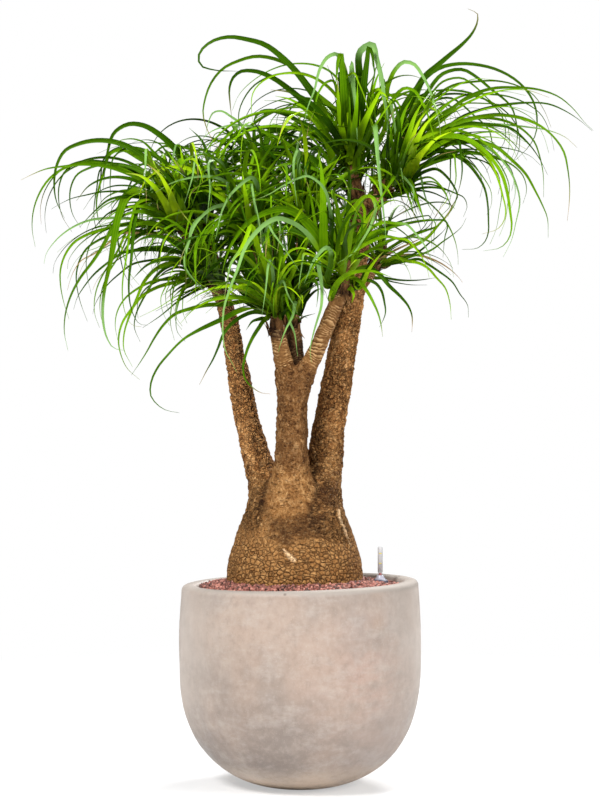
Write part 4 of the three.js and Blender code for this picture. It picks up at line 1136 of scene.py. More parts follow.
leafGuides["topRight"] = [
    [(20, 0.1, 0, 10), 190, 1330, 215, 1390, 240, 1440, 262, 1475, 285, 1495, 312, 1518, 340, 1542, 358, 1562,
     370, 1590, 370, 1603, 352, 1613],
    [(27, 0.75, 0, -130), 205, 1250, 214, 1300, 226, 1350, 240, 1392, 258, 1425],
    [(28, 0.9, 0, -150), 214, 1256, 229, 1303, 245, 1343, 264, 1375, 290, 1398],
    [(27, 1.0, 0, -140), 221, 1253, 239, 1288, 259, 1318, 285, 1344, 315, 1358],
    [(24, 0.5, 0, -120), 196, 1262, 199, 1315, 207, 1365, 220, 1405, 236, 1432],
    [(25, 0.95, 0, -145), 209, 1254, 220, 1300, 234, 1345, 248, 1380, 264, 1402],
    [(8, 0.65, 0, -60), 256, 1340, 300, 1385, 335, 1411, 380, 1432, 429, 1445, 475, 1444, 517, 1430],
    [(7, 0.5, 0, -90), 262, 1330, 305, 1368, 350, 1392, 400, 1408, 450, 1408, 495, 1392],
    [(8, 0.7, 0, -100), 252, 1325, 290, 1352, 330, 1366, 370, 1368, 405, 1358, 435, 1335, 455, 1300],
    [(7, 0.6, 0, -40), 240, 1370, 275, 1415, 320, 1450, 365, 1468, 405, 1466],
    [(9, 0.08, 0, -165), 196, 1290, 204, 1309, 227, 1326, 254, 1336, 277, 1341, 294, 1330, 305, 1310],
    [(21, 0.1, 0, -125), 198, 1262, 204, 1310, 206, 1360, 202, 1400, 190, 1425, 172, 1432],
    [(12, 0.15, 0, 80), 240, 1420, 255, 1462, 290, 1490, 330, 1499, 370, 1497, 410, 1487, 450, 1465,
     475, 1440, 490, 1410, 494, 1380, 490, 1350, 475, 1325, 450, 1300],
    [(11, 0.2, 0, 40), 240, 1400, 265, 1440, 300, 1480, 340, 1487, 370, 1470, 400, 1445, 420, 1430, 440, 1410,
     450, 1380, 453, 1350, 448, 1320, 440, 1300],
    [(8, 0.3, 0, 110), 250, 1400, 280, 1430, 320, 1455, 370, 1463, 410, 1464, 450, 1455, 480, 1440, 510, 1400,
     522, 1370],
    [(10, 0.3, 0, 20), 240, 1320, 270, 1360, 310, 1400, 350, 1430, 400, 1448, 450, 1450, 500, 1445, 540, 1430,
     570, 1405, 595, 1375, 608, 1363],
    [(10, 0.15, 0, -20), 260, 1320, 300, 1360, 340, 1390, 380, 1405, 420, 1413, 470, 1418, 520, 1415,
     555, 1400, 585, 1380, 606, 1362],
    [(11, 0.4, 0, -50), 250, 1320, 280, 1350, 320, 1370, 370, 1388, 420, 1393, 460, 1387, 500, 1370,
     530, 1345, 550, 1315, 558, 1280, 562, 1240, 560, 1200, 557, 1175],
    [(8, 0.5, 0.6, -20), 300, 1365, 340, 1378, 380, 1375, 430, 1372, 480, 1367, 520, 1360, 555, 1345,
     575, 1327],
    [(10, 0.1, 0, -30), 255, 1310, 290, 1340, 350, 1375, 400, 1372, 440, 1365, 470, 1340, 500, 1300,
     515, 1270],
    [(12, 0.35, 0, -80), 220, 1280, 240, 1300, 290, 1330, 330, 1335, 370, 1337, 410, 1325, 440, 1300,
     470, 1270, 490, 1235, 505, 1205, 515, 1180, 517, 1140],
    [(10, 0.3, 0, -60), 215, 1255, 240, 1275, 270, 1290, 310, 1303, 360, 1313, 400, 1305, 440, 1290,
     465, 1265, 472, 1235, 465, 1210],
    [(14, 0.55, 0.1, -130), 225, 1310, 250, 1330, 300, 1350, 340, 1345, 370, 1330, 400, 1300, 420, 1270,
     432, 1230, 438, 1190, 441, 1160, 435, 1135, 420, 1118, 385, 1110],
    [(9, 0.45, 0.3, -110), 260, 1350, 300, 1365, 330, 1360, 370, 1345, 420, 1300, 445, 1260, 448, 1225,
     440, 1200],
    [(8, 0.5, 0.7, -70), 300, 1340, 380, 1330, 450, 1250, 458, 1215, 450, 1170, 440, 1130, 425, 1100],
    [(10, 0.08, 0, -70), 205, 1240, 225, 1250, 260, 1275, 285, 1280, 305, 1265, 320, 1245, 328, 1225,
     315, 1200, 302, 1175],
    [(8, 0.15, 0, -50), 180, 1220, 211, 1229, 239, 1238, 276, 1242, 302, 1238, 325, 1229, 341, 1221,
     348, 1203, 341, 1182],
    [(10, 0.1, 0, -90), 265, 1340, 300, 1350, 330, 1340, 335, 1310, 338, 1280, 333, 1245, 325, 1220],
    [(11, 0.55, 0.2, -110), 205, 1280, 215, 1270, 235, 1245, 250, 1200, 263, 1158],
    [(13, 0.5, 0, -120), 215, 1275, 229, 1255, 239, 1226, 252, 1192, 263, 1158],
    [(8, 0.08, 0, -80), 150, 1232, 198, 1225, 229, 1221, 255, 1213],
    [(8, 0.5, 0.5, -120), 180, 1262, 198, 1270, 224, 1255, 237, 1231, 235, 1216, 229, 1200, 216, 1187],
    [(9, 0.75, 0, -100), 150, 1262, 164, 1252, 187, 1231, 198, 1210],
    [(7, 0.5, 0.9, 0), 230, 1290, 252, 1262, 256, 1240, 268, 1205, 280, 1185],
    [(18, 0.15, 0, 10), 180, 1290, 190, 1350, 210, 1400, 240, 1450, 270, 1478],
    [(16, 0.5, 0, 30), 220, 1300, 250, 1350, 285, 1395, 320, 1425, 350, 1440],
    [(14, 0.65, 0, -40), 230, 1290, 270, 1320, 320, 1345, 365, 1350, 405, 1335],
]
leafGuides["rightBack"] = [
    [(9, 0.1, 0, 60), 110, 1128, 138, 1140, 166, 1106, 187, 1101, 211, 1098, 224, 1093],
    [(9, 0.35, 0, 70), 159, 1098, 198, 1122, 237, 1143, 265, 1153, 286, 1161, 302, 1179, 318, 1203,
     327, 1223],
    [(11, 0.75, 0, 50), 170, 1085, 208, 1104, 229, 1117, 255, 1130, 271, 1143, 286, 1161, 305, 1182,
     323, 1208, 328, 1226],
    [(9, 0.8, 0, 60), 151, 1072, 172, 1085, 198, 1096, 224, 1088, 245, 1085, 265, 1075, 284, 1054, 302, 1033,
     312, 1002, 315, 968],
    [(8, 0.15, 0, 90), 165, 1078, 198, 1084, 224, 1089, 250, 1092, 265, 1083, 289, 1067, 318, 1044, 333, 1020,
     349, 997, 351, 973],
    [(8, 0.2, 0, 120), 153, 1078, 185, 1083, 208, 1083, 224, 1079],
    [(8, -1, 0, 160), 170, 1075, 220, 1100, 262, 1097, 300, 1080, 330, 1055, 338, 1045],
    [(7, 0.1, 0, 140), 150, 1058, 180, 1053, 208, 1049, 250, 1049, 284, 1054],
    [(8, -1, 0, 100), 160, 1090, 200, 1112, 240, 1130, 262, 1140],
]
leafGuides["rightFront"] = [
    [(11, 0.6, 0.4, -130), 75, 1098, 106, 1127, 146, 1156, 172, 1169, 198, 1167, 221, 1165, 239, 1148,
     258, 1124, 271, 1098, 276, 1080],
    [(10, 0.12, 0, -90), 75, 1093, 120, 1117, 159, 1143, 187, 1158, 224, 1167, 263, 1173, 289, 1174,
     302, 1173, 307, 1163, 302, 1140, 298, 1098],
    [(10, 0.1, 0, -60), 61, 1149, 100, 1151, 138, 1150],
    [(13, 0.8, 0.45, -170), 78, 1080, 84, 1120, 100, 1180, 120, 1210, 133, 1222, 146, 1225, 157, 1207,
     148, 1163, 130, 1132, 112, 1106, 80, 1085],
    [(12, 0.12, 0, -130), 100, 1065, 140, 1075, 164, 1062, 187, 1036, 211, 1013, 226, 994, 233, 976, 234, 958,
     233, 942],
    [(9, 0.2, 0, -110), 110, 1040, 135, 1049, 159, 1041, 169, 1028, 176, 1002, 178, 981, 172, 963, 166, 952],
    [(10, 0.5, 0, -150), 100, 1058, 120, 1049, 138, 1028, 153, 1002, 163, 979, 169, 955, 172, 932],
    [(14, 0.9, 0, -110), 120, 1035, 146, 1075, 164, 1098, 174, 1108],
    [(28, 0.6, 0, -140), 57, 1040, 52, 1090, 50, 1144, 49, 1189, 48, 1233, 45, 1275, 38, 1318],
    [(24, 0.45, 0, -150), 60, 1050, 52, 1100, 41, 1135, 18, 1165, -9, 1189, -36, 1198, -60, 1194, -81, 1186,
     -110, 1168, -128, 1147, -143, 1123, -155, 1093, -162, 1064],
    [(13, 0.55, 0.8, -396), 50, 1060, 38, 1110, 10, 1150, -20, 1170, -48, 1177, -69, 1168, -87, 1153,
     -107, 1129, -119, 1105, -128, 1076, -140, 1046, -149, 1022, -158, 992, -161, 962, -160, 927, -155, 900,
     -143, 879, -134, 861],
    [(15, 0.3, 0.5, -200), 62, 1040, 64, 1090, 62, 1112, 56, 1117, 48, 1113, 38, 1102, 26, 1085, 18, 1064,
     9, 1043],
    [(11, 0.55, 0.75, -210), 58, 1040, 48, 1085, 42, 1095, 39, 1080, 43, 1055, 46, 1019, 44, 992, 35, 962,
     26, 930, 21, 900, 24, 879],
    [(9, 0.5, 0.8, -180), 70, 1120, 62, 1200, 50, 1240, 35, 1256, 15, 1266, -6, 1260, -36, 1245, -66, 1227,
     -96, 1215],
    [(16, 0.7, 0, -160), 64, 1010, 80, 1045, 110, 1065, 150, 1068, 190, 1055],
    [(13, 0.15, 0, -120), 70, 1045, 40, 1062, 10, 1060, -12, 1045],
    [(12, 0.85, 0, -150), 60, 1035, 45, 1055, 22, 1062, 5, 1050, -2, 1030],
    [(16, 0.45, 0, -110), 90, 1070, 88, 1120, 80, 1170, 66, 1215],
    [(15, 0.65, 0, -100), 100, 1065, 118, 1110, 140, 1140, 168, 1155, 200, 1150],
    [(18, 0.75, 0, -120), 74, 1036, 66, 1028, 62, 1016, 63, 1003],
    [(17, 0.75, 0, -120), 100, 1036, 108, 1028, 112, 1016, 108, 1002],
]
leafGuides["leftFront"] = [
    [(12, 0.25, 0, -320), -62, 978, -85, 988, -107, 989, -131, 983, -155, 971, -185, 957, -215, 942,
     -244, 924, -274, 894, -298, 864, -311, 832, -311, 808, -298, 790, -280, 778, -255, 773],
    [(11, 0.3, 0, -110), -66, 985, -110, 1003, -161, 998, -194, 997, -229, 989, -262, 977, -283, 957,
     -304, 927, -319, 900, -334, 876, -350, 853],
    [(11, 0.08, 0, -130), -52, 972, -66, 977, -96, 982, -119, 974, -143, 957, -158, 939, -170, 909, -182, 882,
     -194, 861, -209, 832],
    [(10, 0.25, 0, -190), -52, 970, -60, 975, -72, 968, -87, 948, -101, 924, -113, 894, -119, 864, -113, 840,
     -96, 823, -81, 814, -64, 812],
    [(9, 0.5, 0.8, -210), -52, 1000, -56, 1060, -63, 1090, -67, 1075, -69, 1052, -72, 1025, -76, 998,
     -79, 977],
    [(10, 0.9, 0, -180), -66, 990, -73, 1008, -85, 1025, -110, 1040, -128, 1037, -143, 1025, -158, 1000],
    [(25, 0.85, 0, -140), -53, 985, -58, 1025, -63, 1070, -67, 1111, -69, 1150, -74, 1185],
    [(24, 0.5, 0, -130), -45, 985, -40, 1030, -38, 1075, -40, 1120, -46, 1160],
    [(24, 0.08, 0, -90), -56, 990, -74, 1035, -96, 1075, -126, 1110, -158, 1136],
    [(24, 0.05, 0, -70), -62, 990, -88, 1030, -112, 1075, -135, 1120, -160, 1160],
    [(11, 0.85, 0, -170), -58, 988, -80, 1010, -108, 1028, -140, 1036, -172, 1034, -205, 1022, -235, 1003],
    [(10, 0.7, 0, -165), -60, 985, -90, 1002, -125, 1012, -160, 1012, -195, 1003, -225, 985, -248, 960],
    [(12, 0.9, 0, -175), -56, 990, -72, 1020, -95, 1042, -122, 1052],
    [(16, 0.8, 0, -160), -58, 990, -64, 1052, -75, 1085, -90, 1117, -104, 1138, -130, 1162],
    [(15, 0.85, 0.3, -200), -60, 1000, -75, 1060, -90, 1125, -102, 1162, -113, 1135, -125, 1111, -143, 1085,
     -152, 1046, -158, 1010],
    [(16, 0.12, 0, -80), -70, 985, -95, 1005, -125, 1028, -143, 1046, -167, 1070],
    [(14, 0.3, 0, -60), -62, 990, -80, 1030, -100, 1065, -125, 1095, -150, 1115],
    [(10, 0.85, 0, -170), -52, 1000, -50, 1030, -46, 1060, -36, 1087, -18, 1111, 3, 1116, 24, 1108, 45, 1088],
    [(10, 0.9, 0, -190), -50, 1000, -48, 1035, -39, 1061, -18, 1085, 3, 1090, 21, 1082, 32, 1064],
    [(9, 0.5, 0.9, -180), -44, 1000, -44, 1040, -36, 1047, -24, 1016, -12, 995, -6, 980],
    [(10, 0.5, 0.9, -200), -60, 1100, -72, 1150, -66, 1162, -55, 1145, -36, 1120, -18, 1093, -3, 1070],
    [(8, 0.5, 0.9, -190), -60, 1110, -58, 1165, -49, 1178, -42, 1159, -44, 1129, -48, 1105],
    [(9, 0.5, 0.9, -190), -75, 1120, -98, 1230, -101, 1251, -96, 1218, -87, 1180, -82, 1144, -81, 1111],
    [(13, 0.2, 0, -120), -66, 975, -85, 968, -100, 962, -112, 945],
    [(10, 0.1, 0, -120), -44, 975, -25, 985, -5, 978, 15, 970],
]
leafGuides["middleFront"] = [
    [(9, 0.55, 0.8, -190), -12, 985, -8, 1005, -10, 1000, -18, 968, -30, 945, -39, 921, -45, 900],
    [(8, 0.3, 0.5, -170), -20, 985, -24, 992, -21, 962, -11, 936, -5, 891],
    [(9, 0.1, 0, -90), -6, 966, 12, 974, 31, 979],
    [(14, 0.5, 0, -110), -16, 985, -15, 1010, -20, 1040, -24, 1058],
    [(12, 0.2, 0, -70), -4, 980, 10, 1010, 18, 1045, 20, 1080],
    [(10, 0.15, 0, -60), -24, 975, -40, 990, -52, 982],
    [(30, 0.08, 0, -75), -22, 985, -34, 1040, -44, 1100, -52, 1160, -58, 1215],
    [(30, 0.04, 0, -70), -10, 990, -12, 1045, -16, 1105, -22, 1165, -30, 1220],
    [(26, 0.1, 0, -75), -6, 990, -2, 1040, 2, 1100, 0, 1160, -4, 1210],
    [(17, 0.2, 0, -80), -2, 995, 12, 1040, 24, 1085, 30, 1140, 30, 1190],
    [(26, 0.04, 0, -65), -28, 980, -54, 1030, -76, 1080, -94, 1130, -106, 1175],
    [(20, 0.06, 0, -60), -30, 975, -66, 1015, -98, 1055, -120, 1095],
]
leafGuides["leftUp"] = [
    [(17, 0.1, 0, 60), -225, 1265, -250, 1310, -290, 1350, -330, 1372, -355, 1374, -385, 1358, -402, 1310,
     -410, 1240],
    [(11, 0.3, 0, 20), -230, 1240, -260, 1275, -300, 1310, -330, 1338, -350, 1343, -370, 1341, -390, 1333],
    [(11, 0.4, 0, 110), -260, 1245, -300, 1280, -340, 1305, -370, 1320, -390, 1316, -410, 1270, -424, 1200,
     -420, 1175, -405, 1140],
    [(9, 0.1, 0, 0), -250, 1245, -290, 1275, -330, 1290, -350, 1290, -372, 1283],
    [(13, 0.55, 0.75, -120), -170, 1240, -185, 1290, -203, 1312, -214, 1307, -225, 1260, -240, 1210],
    [(10, 0.5, 0.9, -160), -165, 1240, -178, 1300, -187, 1297, -188, 1230, -195, 1170],
    [(17, 0.8, 0, 30), -220, 1200, -232, 1250, -245, 1300, -250, 1330],
    [(26, 0.12, 0, -110), -218, 1175, -236, 1210, -260, 1245, -286, 1275, -315, 1300],
    [(26, 0.05, 0, -100), -212, 1180, -222, 1225, -238, 1265, -264, 1302],
    [(24, 0.2, 0, -95), -205, 1185, -205, 1235, -215, 1280, -236, 1318],
    [(22, 0.08, 0, -90), -197, 1190, -188, 1240, -190, 1285, -206, 1328],
    [(15, 0.15, 0, 70), -190, 1230, -190, 1290, -205, 1340, -230, 1365],
    [(12, 0.4, 0, 80), -180, 1230, -165, 1290, -150, 1335, -125, 1362, -95, 1368],
    [(12, 0.25, 0, 20), -170, 1260, -150, 1280, -180, 1305, -215, 1325, -240, 1330],
    [(10, 0.5, 0.4, 60), -180, 1280, -160, 1340, -130, 1372, -160, 1368, -190, 1355, -210, 1335],
]
leafGuides["leftOut"] = [
    [(11, 0.3, 0, 0), -270, 1215, -315, 1250, -360, 1272, -400, 1285, -450, 1290, -490, 1286, -530, 1280,
     -560, 1268, -580, 1258],
    [(15, 0.15, 0, 60), -275, 1250, -325, 1305, -370, 1332, -420, 1340, -460, 1333, -490, 1318, -506, 1290,
     -512, 1255, -508, 1215, -492, 1180],
    [(10, 0.35, 0, 110), -290, 1225, -335, 1260, -385, 1285, -435, 1293, -485, 1285, -520, 1262, -545, 1225,
     -556, 1190, -558, 1155, -552, 1120],
    [(8, 0.1, 0, -40), -275, 1250, -300, 1265, -340, 1250, -370, 1225, -390, 1200, -400, 1175],
    [(9, 0.1, 0, -60), -290, 1205, -340, 1222, -370, 1223, -400, 1215, -425, 1195, -445, 1175, -458, 1160],
    [(19, 0.35, 0.3, -130), -285, 1205, -330, 1235, -358, 1228, -376, 1190, -388, 1130, -397, 1080,
     -406, 1040, -411, 1000, -410, 960, -402, 928, -388, 907, -370, 903],
    [(11, 0.3, 0.1, -60), -300, 1215, -345, 1235, -370, 1195, -395, 1150, -412, 1118, -430, 1090, -460, 1050,
     -480, 1010, -490, 970, -491, 940, -484, 905],
    [(9, 0.45, 0, -30), -290, 1170, -340, 1169, -400, 1157, -440, 1145, -470, 1128, -490, 1100, -499, 1070,
     -499, 1040, -494, 1010, -482, 970],
    [(8, 0.5, 0.7, 20), -290, 1165, -340, 1175, -400, 1178, -440, 1173, -480, 1155, -510, 1130, -530, 1100,
     -533, 1085],
    [(7, 0.1, 0, -30), -290, 1150, -330, 1152, -365, 1150, -378, 1140, -377, 1115, -373, 1090, -365, 1060,
     -350, 1035],
    [(23, 0.95, 0, -115), -256, 1162, -270, 1190, -286, 1218, -306, 1246, -332, 1266, -362, 1272],
    [(23, 1.0, 0, -125), -252, 1172, -263, 1208, -276, 1240, -294, 1270, -318, 1290],
    [(20, 0.75, 0, -105), -246, 1180, -250, 1220, -258, 1258, -272, 1292],
    [(16, 0.7, 0, 20), -240, 1190, -242, 1240, -255, 1285, -275, 1315],
    [(16, 0.3, 0, 10), -262, 1180, -300, 1210, -340, 1225, -375, 1222, -400, 1200],
    [(17, 0.35, 0, -60), -262, 1165, -300, 1185, -345, 1190, -385, 1175, -415, 1145],
    [(16, 0.15, 0, -20), -258, 1160, -290, 1160, -325, 1148, -355, 1125, -380, 1090],
    [(14, 0.6, 0, -40), -262, 1150, -300, 1165, -340, 1165, -375, 1145, -395, 1110],
    [(12, 0.2, 0, 40), -262, 1200, -310, 1240, -355, 1260, -400, 1262, -440, 1245, -465, 1215],
]
leafGuides["leftLow"] = [
    [(7, -1, 0, -20), -240, 1125, -300, 1142, -340, 1147, -375, 1145, -400, 1125, -430, 1103, -455, 1090,
     -470, 1070, -480, 1045, -484, 1030],
    [(10, 0.1, 0, -60), -230, 1095, -280, 1110, -330, 1112, -370, 1105, -400, 1085, -430, 1060, -450, 1035,
     -465, 1010, -471, 990],
    [(8, 0.5, 0, -60), -220, 1060, -260, 1052, -310, 1045, -340, 1030, -365, 1010, -380, 985, -385, 955,
     -380, 925],
    [(9, 0.6, 0, -90), -215, 1058, -250, 1047, -300, 1033, -330, 1015, -350, 990, -370, 960, -378, 925,
     -372, 890, -360, 865, -336, 843],
    [(10, 0.6, 0, -110), -230, 1080, -265, 1085, -300, 1072, -325, 1045, -340, 1010, -355, 975, -366, 940,
     -367, 905, -350, 870],
    [(6, 0.4, 0, -120), -215, 1065, -245, 1060, -262, 1035, -267, 1000, -270, 960, -262, 925],
    [(6, 0.3, 0, -130), -215, 1050, -240, 1030, -252, 1005, -258, 975, -255, 940, -240, 922],
    [(6, 0.5, 0, -140), -225, 1065, -260, 1060, -280, 1035, -290, 1008, -285, 980, -272, 955],
    [(7, 0.1, 0, -100), -195, 1040, -215, 1028, -260, 1000, -290, 975, -327, 950],
    [(14, 0.85, 0, -60), -205, 1060, -240, 1085, -275, 1095, -310, 1085, -340, 1060],
    [(13, 0.3, 0, -80), -200, 1050, -225, 1050, -255, 1040, -285, 1018],
    [(9, 0.5, 0.8, -160), -190, 1120, -205, 1180, -225, 1158, -230, 1132, -238, 1105, -241, 1082, -232, 1064,
     -215, 1043, -194, 1019, -176, 1004],
    [(10, 0.75, 0, -110), -175, 1048, -160, 1035, -140, 1020, -125, 1002],
    [(18, 0.1, 0, -80), -188, 1050, -198, 1090, -214, 1125, -236, 1150],
    [(17, 0.5, 0, -95), -180, 1050, -178, 1090, -181, 1130, -192, 1165],
    [(17, 0.06, 0, -75), -172, 1045, -160, 1080, -150, 1115, -146, 1150],
    [(16, 0.15, 0, -70), -176, 1046, -200, 1062, -228, 1068, -256, 1058],
    [(18, 0.2, 0, -90), -196, 1055, -222, 1095, -256, 1125, -295, 1140, -330, 1135, -360, 1110],
    [(17, 0.4, 0, -85), -192, 1060, -212, 1110, -240, 1150, -275, 1175, -310, 1180],
    [(16, 0.6, 0, -100), -190, 1060, -204, 1115, -224, 1160, -250, 1195],
    [(16, 0.12, 0, -70), -200, 1050, -235, 1080, -275, 1092, -315, 1082, -350, 1050],
]
leafGuides["centreLeft"] = [
    [(10, 0.5, 0.8, -170), -130, 1180, -150, 1205, -167, 1204, -203, 1183, -221, 1159, -232, 1130, -246, 1100,
     -252, 1075],
    [(12, 0.55, 0.7, -180), -95, 1190, -88, 1245, -99, 1262, -125, 1247, -149, 1221, -164, 1189, -171, 1159,
     -176, 1135],
    [(10, 0.55, 0.6, -120), -130, 1200, -150, 1250, -180, 1264, -230, 1262, -270, 1250, -300, 1232],
    [(18, 0.85, 0, -110), -105, 1150, -108, 1190, -115, 1235, -120, 1275],
    [(16, 0.75, 0, -80), -115, 1150, -135, 1190, -165, 1220, -195, 1235, -225, 1230],
    [(15, 0.15, 0, -90), -95, 1150, -85, 1200, -65, 1240, -40, 1260, -15, 1255],
    [(13, 0.6, 0, -130), -110, 1140, -135, 1160, -165, 1165, -190, 1150, -205, 1120, -210, 1085],
    [(27, 0.06, 0, -40), -108, 1125, -138, 1132, -168, 1122, -190, 1095],
    [(26, 0.05, 0, -30), -98, 1122, -124, 1106, -148, 1084, -164, 1056],
    [(27, 0.05, 0, -45), -105, 1130, -126, 1146, -158, 1150, -188, 1138, -210, 1110],
    [(26, 0.1, 0, -40), -104, 1118, -118, 1090, -130, 1060, -138, 1030],
    [(28, 0.06, 0, -35), -96, 1125, -78, 1170, -64, 1215, -56, 1260],
    [(28, 0.04, 0, -30), -108, 1125, -116, 1170, -126, 1215, -132, 1260],
    [(10, 0.35, 0, -150), -100, 1150, -112, 1175, -140, 1185, -170, 1170, -188, 1130, -194, 1085, -196, 1045],
]
leafGuides["centre"] = [
    [(19, 0.55, 0, -90), 12, 1150, 15, 1204, 18, 1239, 9, 1262, -6, 1277],
    [(16, 0.85, 0, -110), 5, 1160, -5, 1210, -20, 1255, -40, 1290],
    [(18, 0.7, 0, -60), 25, 1160, 40, 1220, 60, 1270, 85, 1310],
    [(12, 0.5, 0.6, -150), 0, 1200, -2, 1270, -6, 1318, -12, 1300, -12, 1255, -6, 1205],
    [(14, 0.15, 0, -100), 0, 1160, -25, 1200, -55, 1225, -90, 1230, -120, 1215],
    [(13, 0.3, 0, -80), 30, 1160, 65, 1190, 105, 1200, 140, 1185],
    [(30, 0.05, 0, -15), 0, 1135, -22, 1180, -42, 1230, -58, 1280],
    [(30, 0.04, 0, -15), 8, 1135, 0, 1190, -6, 1245, -12, 1300],
    [(30, 0.05, 0, -20), 18, 1135, 32, 1190, 42, 1245, 46, 1295],
    [(11, 0.9, 0, -170), 10, 1160, 12, 1180, 5, 1195, -10, 1175, -22, 1155, -34, 1135],
]
leafGuides["back"] = [
    [(12, 0.1, 0, 110), -60, 1290, -20, 1345, -50, 1362, -85, 1367, -120, 1360, -150, 1340, -180, 1310],
    [(10, 0.5, 0.5, 100), -65, 1290, -60, 1345, -100, 1368, -130, 1372, -160, 1368, -190, 1355, -210, 1335],
    [(11, 0.5, 0.5, 90), -80, 1290, -110, 1350, -125, 1375, -145, 1390, -165, 1401, -180, 1398, -190, 1380,
     -197, 1350],
    [(14, 0.3, 0, 90), -70, 1270, -60, 1320, -30, 1360, 10, 1380, 50, 1378],
]

# What the foliage fills when seen from the camera, at the planter's distance: x, z points along
# the top and the foot of the crown's close middle and of its loose fringe.
crown = {
    "closeTop": [
        [-345, 1240], [-320, 1325], [-208, 1361], [-83, 1403], [62, 1480], [208, 1505], [312, 1445],
        [360, 1360],
    ],
    "closeFoot": [
        [-345, 1130], [-300, 1045], [-208, 990], [-73, 972], [0, 972], [104, 1035], [167, 1091], [208, 1200],
        [271, 1285], [360, 1330],
    ],
    "looseTop": [
        [-560, 1250], [-520, 1290], [-430, 1330], [-340, 1365], [-200, 1390], [-120, 1440], [0, 1470],
        [70, 1510], [200, 1525], [300, 1520], [400, 1490], [500, 1430], [590, 1370],
    ],
    "looseFoot": [
        [-560, 1150], [-490, 960], [-400, 940], [-300, 900], [-200, 960], [-130, 1010], [-60, 960], [0, 965],
        [60, 1020], [160, 1010], [300, 1030], [360, 1080], [440, 1110], [520, 1160], [590, 1300],
    ],
    "strayShare": 0.06,  # how many leaves may leave the close middle
    "frontShare": 0.35,  # how many leaves may stand in front of their head
    "sisters": 2,  # leaves shaped like each listed one, turned a little about their head
    "sisterTurn": 0.16,
    "sisterScale": [0.74, 1.0],
    "sisterDepth": 75,
    "sisterFront": -210,  # how far in front the first of them may end
    "depth": [-330, 465],
}
leafShape = {
    "rings": 40,
    "thickness": 0.75,
    "clasp": 24,  # length of the broad foot that wraps the stem
    "candidates": 14,
}
shading = {
    "cell": 24,
    "steps": 9,
    "depth": 1000,
    "reach": 220,
    "ways": [[0, -1, 0.2], [0, -0.2, 1]],
}
limbPaths = {**oldLimbs, **youngLimbs}


# Where a head's leaves stand: a tapering stem tip that carries on from the limb.
def headCore(name):
    head = leafHeads[name]
    path = np.array(limbPaths[head["limb"]], float)
    limbAxis = unit(path[-1, :3] - path[-2, :3])
    direction = unit(np.array(head["axis"], float))
    bent = unit(0.2 * limbAxis + 0.8 * direction)
    return path[-1, :3], bent, path[-1, 3] * 0.92


# Between two lines of the crown, each straight from point to point.
def within(x, z, low, high):
    top = np.interp(x, *np.array(crown[high], float).T, left=-1e6, right=-1e6)
    foot = np.interp(x, *np.array(crown[low], float).T)
    return (z < top) & (z > foot)


# Leaves that past their foot stay inside the crown, seen from the camera, and in its depth.
def insideCrown(lines, mayStray):
    past = leafShape["rings"] // 5  # a leaf's foot may be outside
    x, z = frontView(lines[:, past:])
    depth = lines[:, past:, 1]
    nearest, furthest = crown["depth"]
    close = within(x, z, "closeFoot", "closeTop").all(1)
    loose = within(x, z, "looseFoot", "looseTop").all(1)
    return (close | (loose & mayStray)) & ((depth > nearest) & (depth < furthest)).all(1)


# Leaves that stay further from each limb's middle line than its radius.
def clearOfLimbs(lines):
    clear = np.ones(len(lines), bool)
    for path in limbPaths.values():
        spine = smoothPath(path, 14)
        apart = np.linalg.norm(lines[:, leafShape["rings"] // 5:, None] - spine[None, None, :, :3], axis=-1)
        clear &= (apart > spine[:, 3] + 2).all((1, 2))
    return clear


# Arching lines: a leaf starts up along its stem, turns out to its own direction, and its steepness
# then falls with a power of the length from there to its end's, while its heading swings a little.
def archingLines(root, axis, outward, lift, length, endSteepness, power, swing, kink):
    t = np.linspace(0, 1, leafShape["rings"] * 3)
    start = np.cos(lift)[:, None] * outward + np.sin(lift)[:, None] * axis
    heading = np.arctan2(start[:, 1], start[:, 0])[:, None] + swing[:, None] * t ** 1.6
    steepness = np.arcsin(np.clip(start[:, 2], -1, 1))[:, None]
    steepness = steepness + (endSteepness[:, None] - steepness) * t ** power[:, None]
    folded = smoothStep(kink[:, None], kink[:, None] + 0.06, t[None])
    steepness = steepness + (np.minimum(steepness, -1.35) - steepness) * folded
    direction = np.stack([
        np.cos(steepness) * np.cos(heading), np.cos(steepness) * np.sin(heading), np.sin(steepness),
    ], -1)
    rootWards = unit(0.92 * axis + 0.25 * outward)[:, None]
    turned = smoothStep(0.0, 0.11, t)[None, :, None]
    direction = unit(rootWards * (1 - turned) + direction * turned)
    step = length[:, None, None] / (len(t) - 1)
    travelled = np.cumsum((direction[:, 1:] + direction[:, :-1]) / 2 * step, axis=1)
    lines = root[:, None] + np.concatenate([np.zeros_like(direction[:, :1]), travelled], axis=1)
    return lines[:, np.round(np.linspace(0, len(t) - 1, leafShape["rings"])).astype(int)]


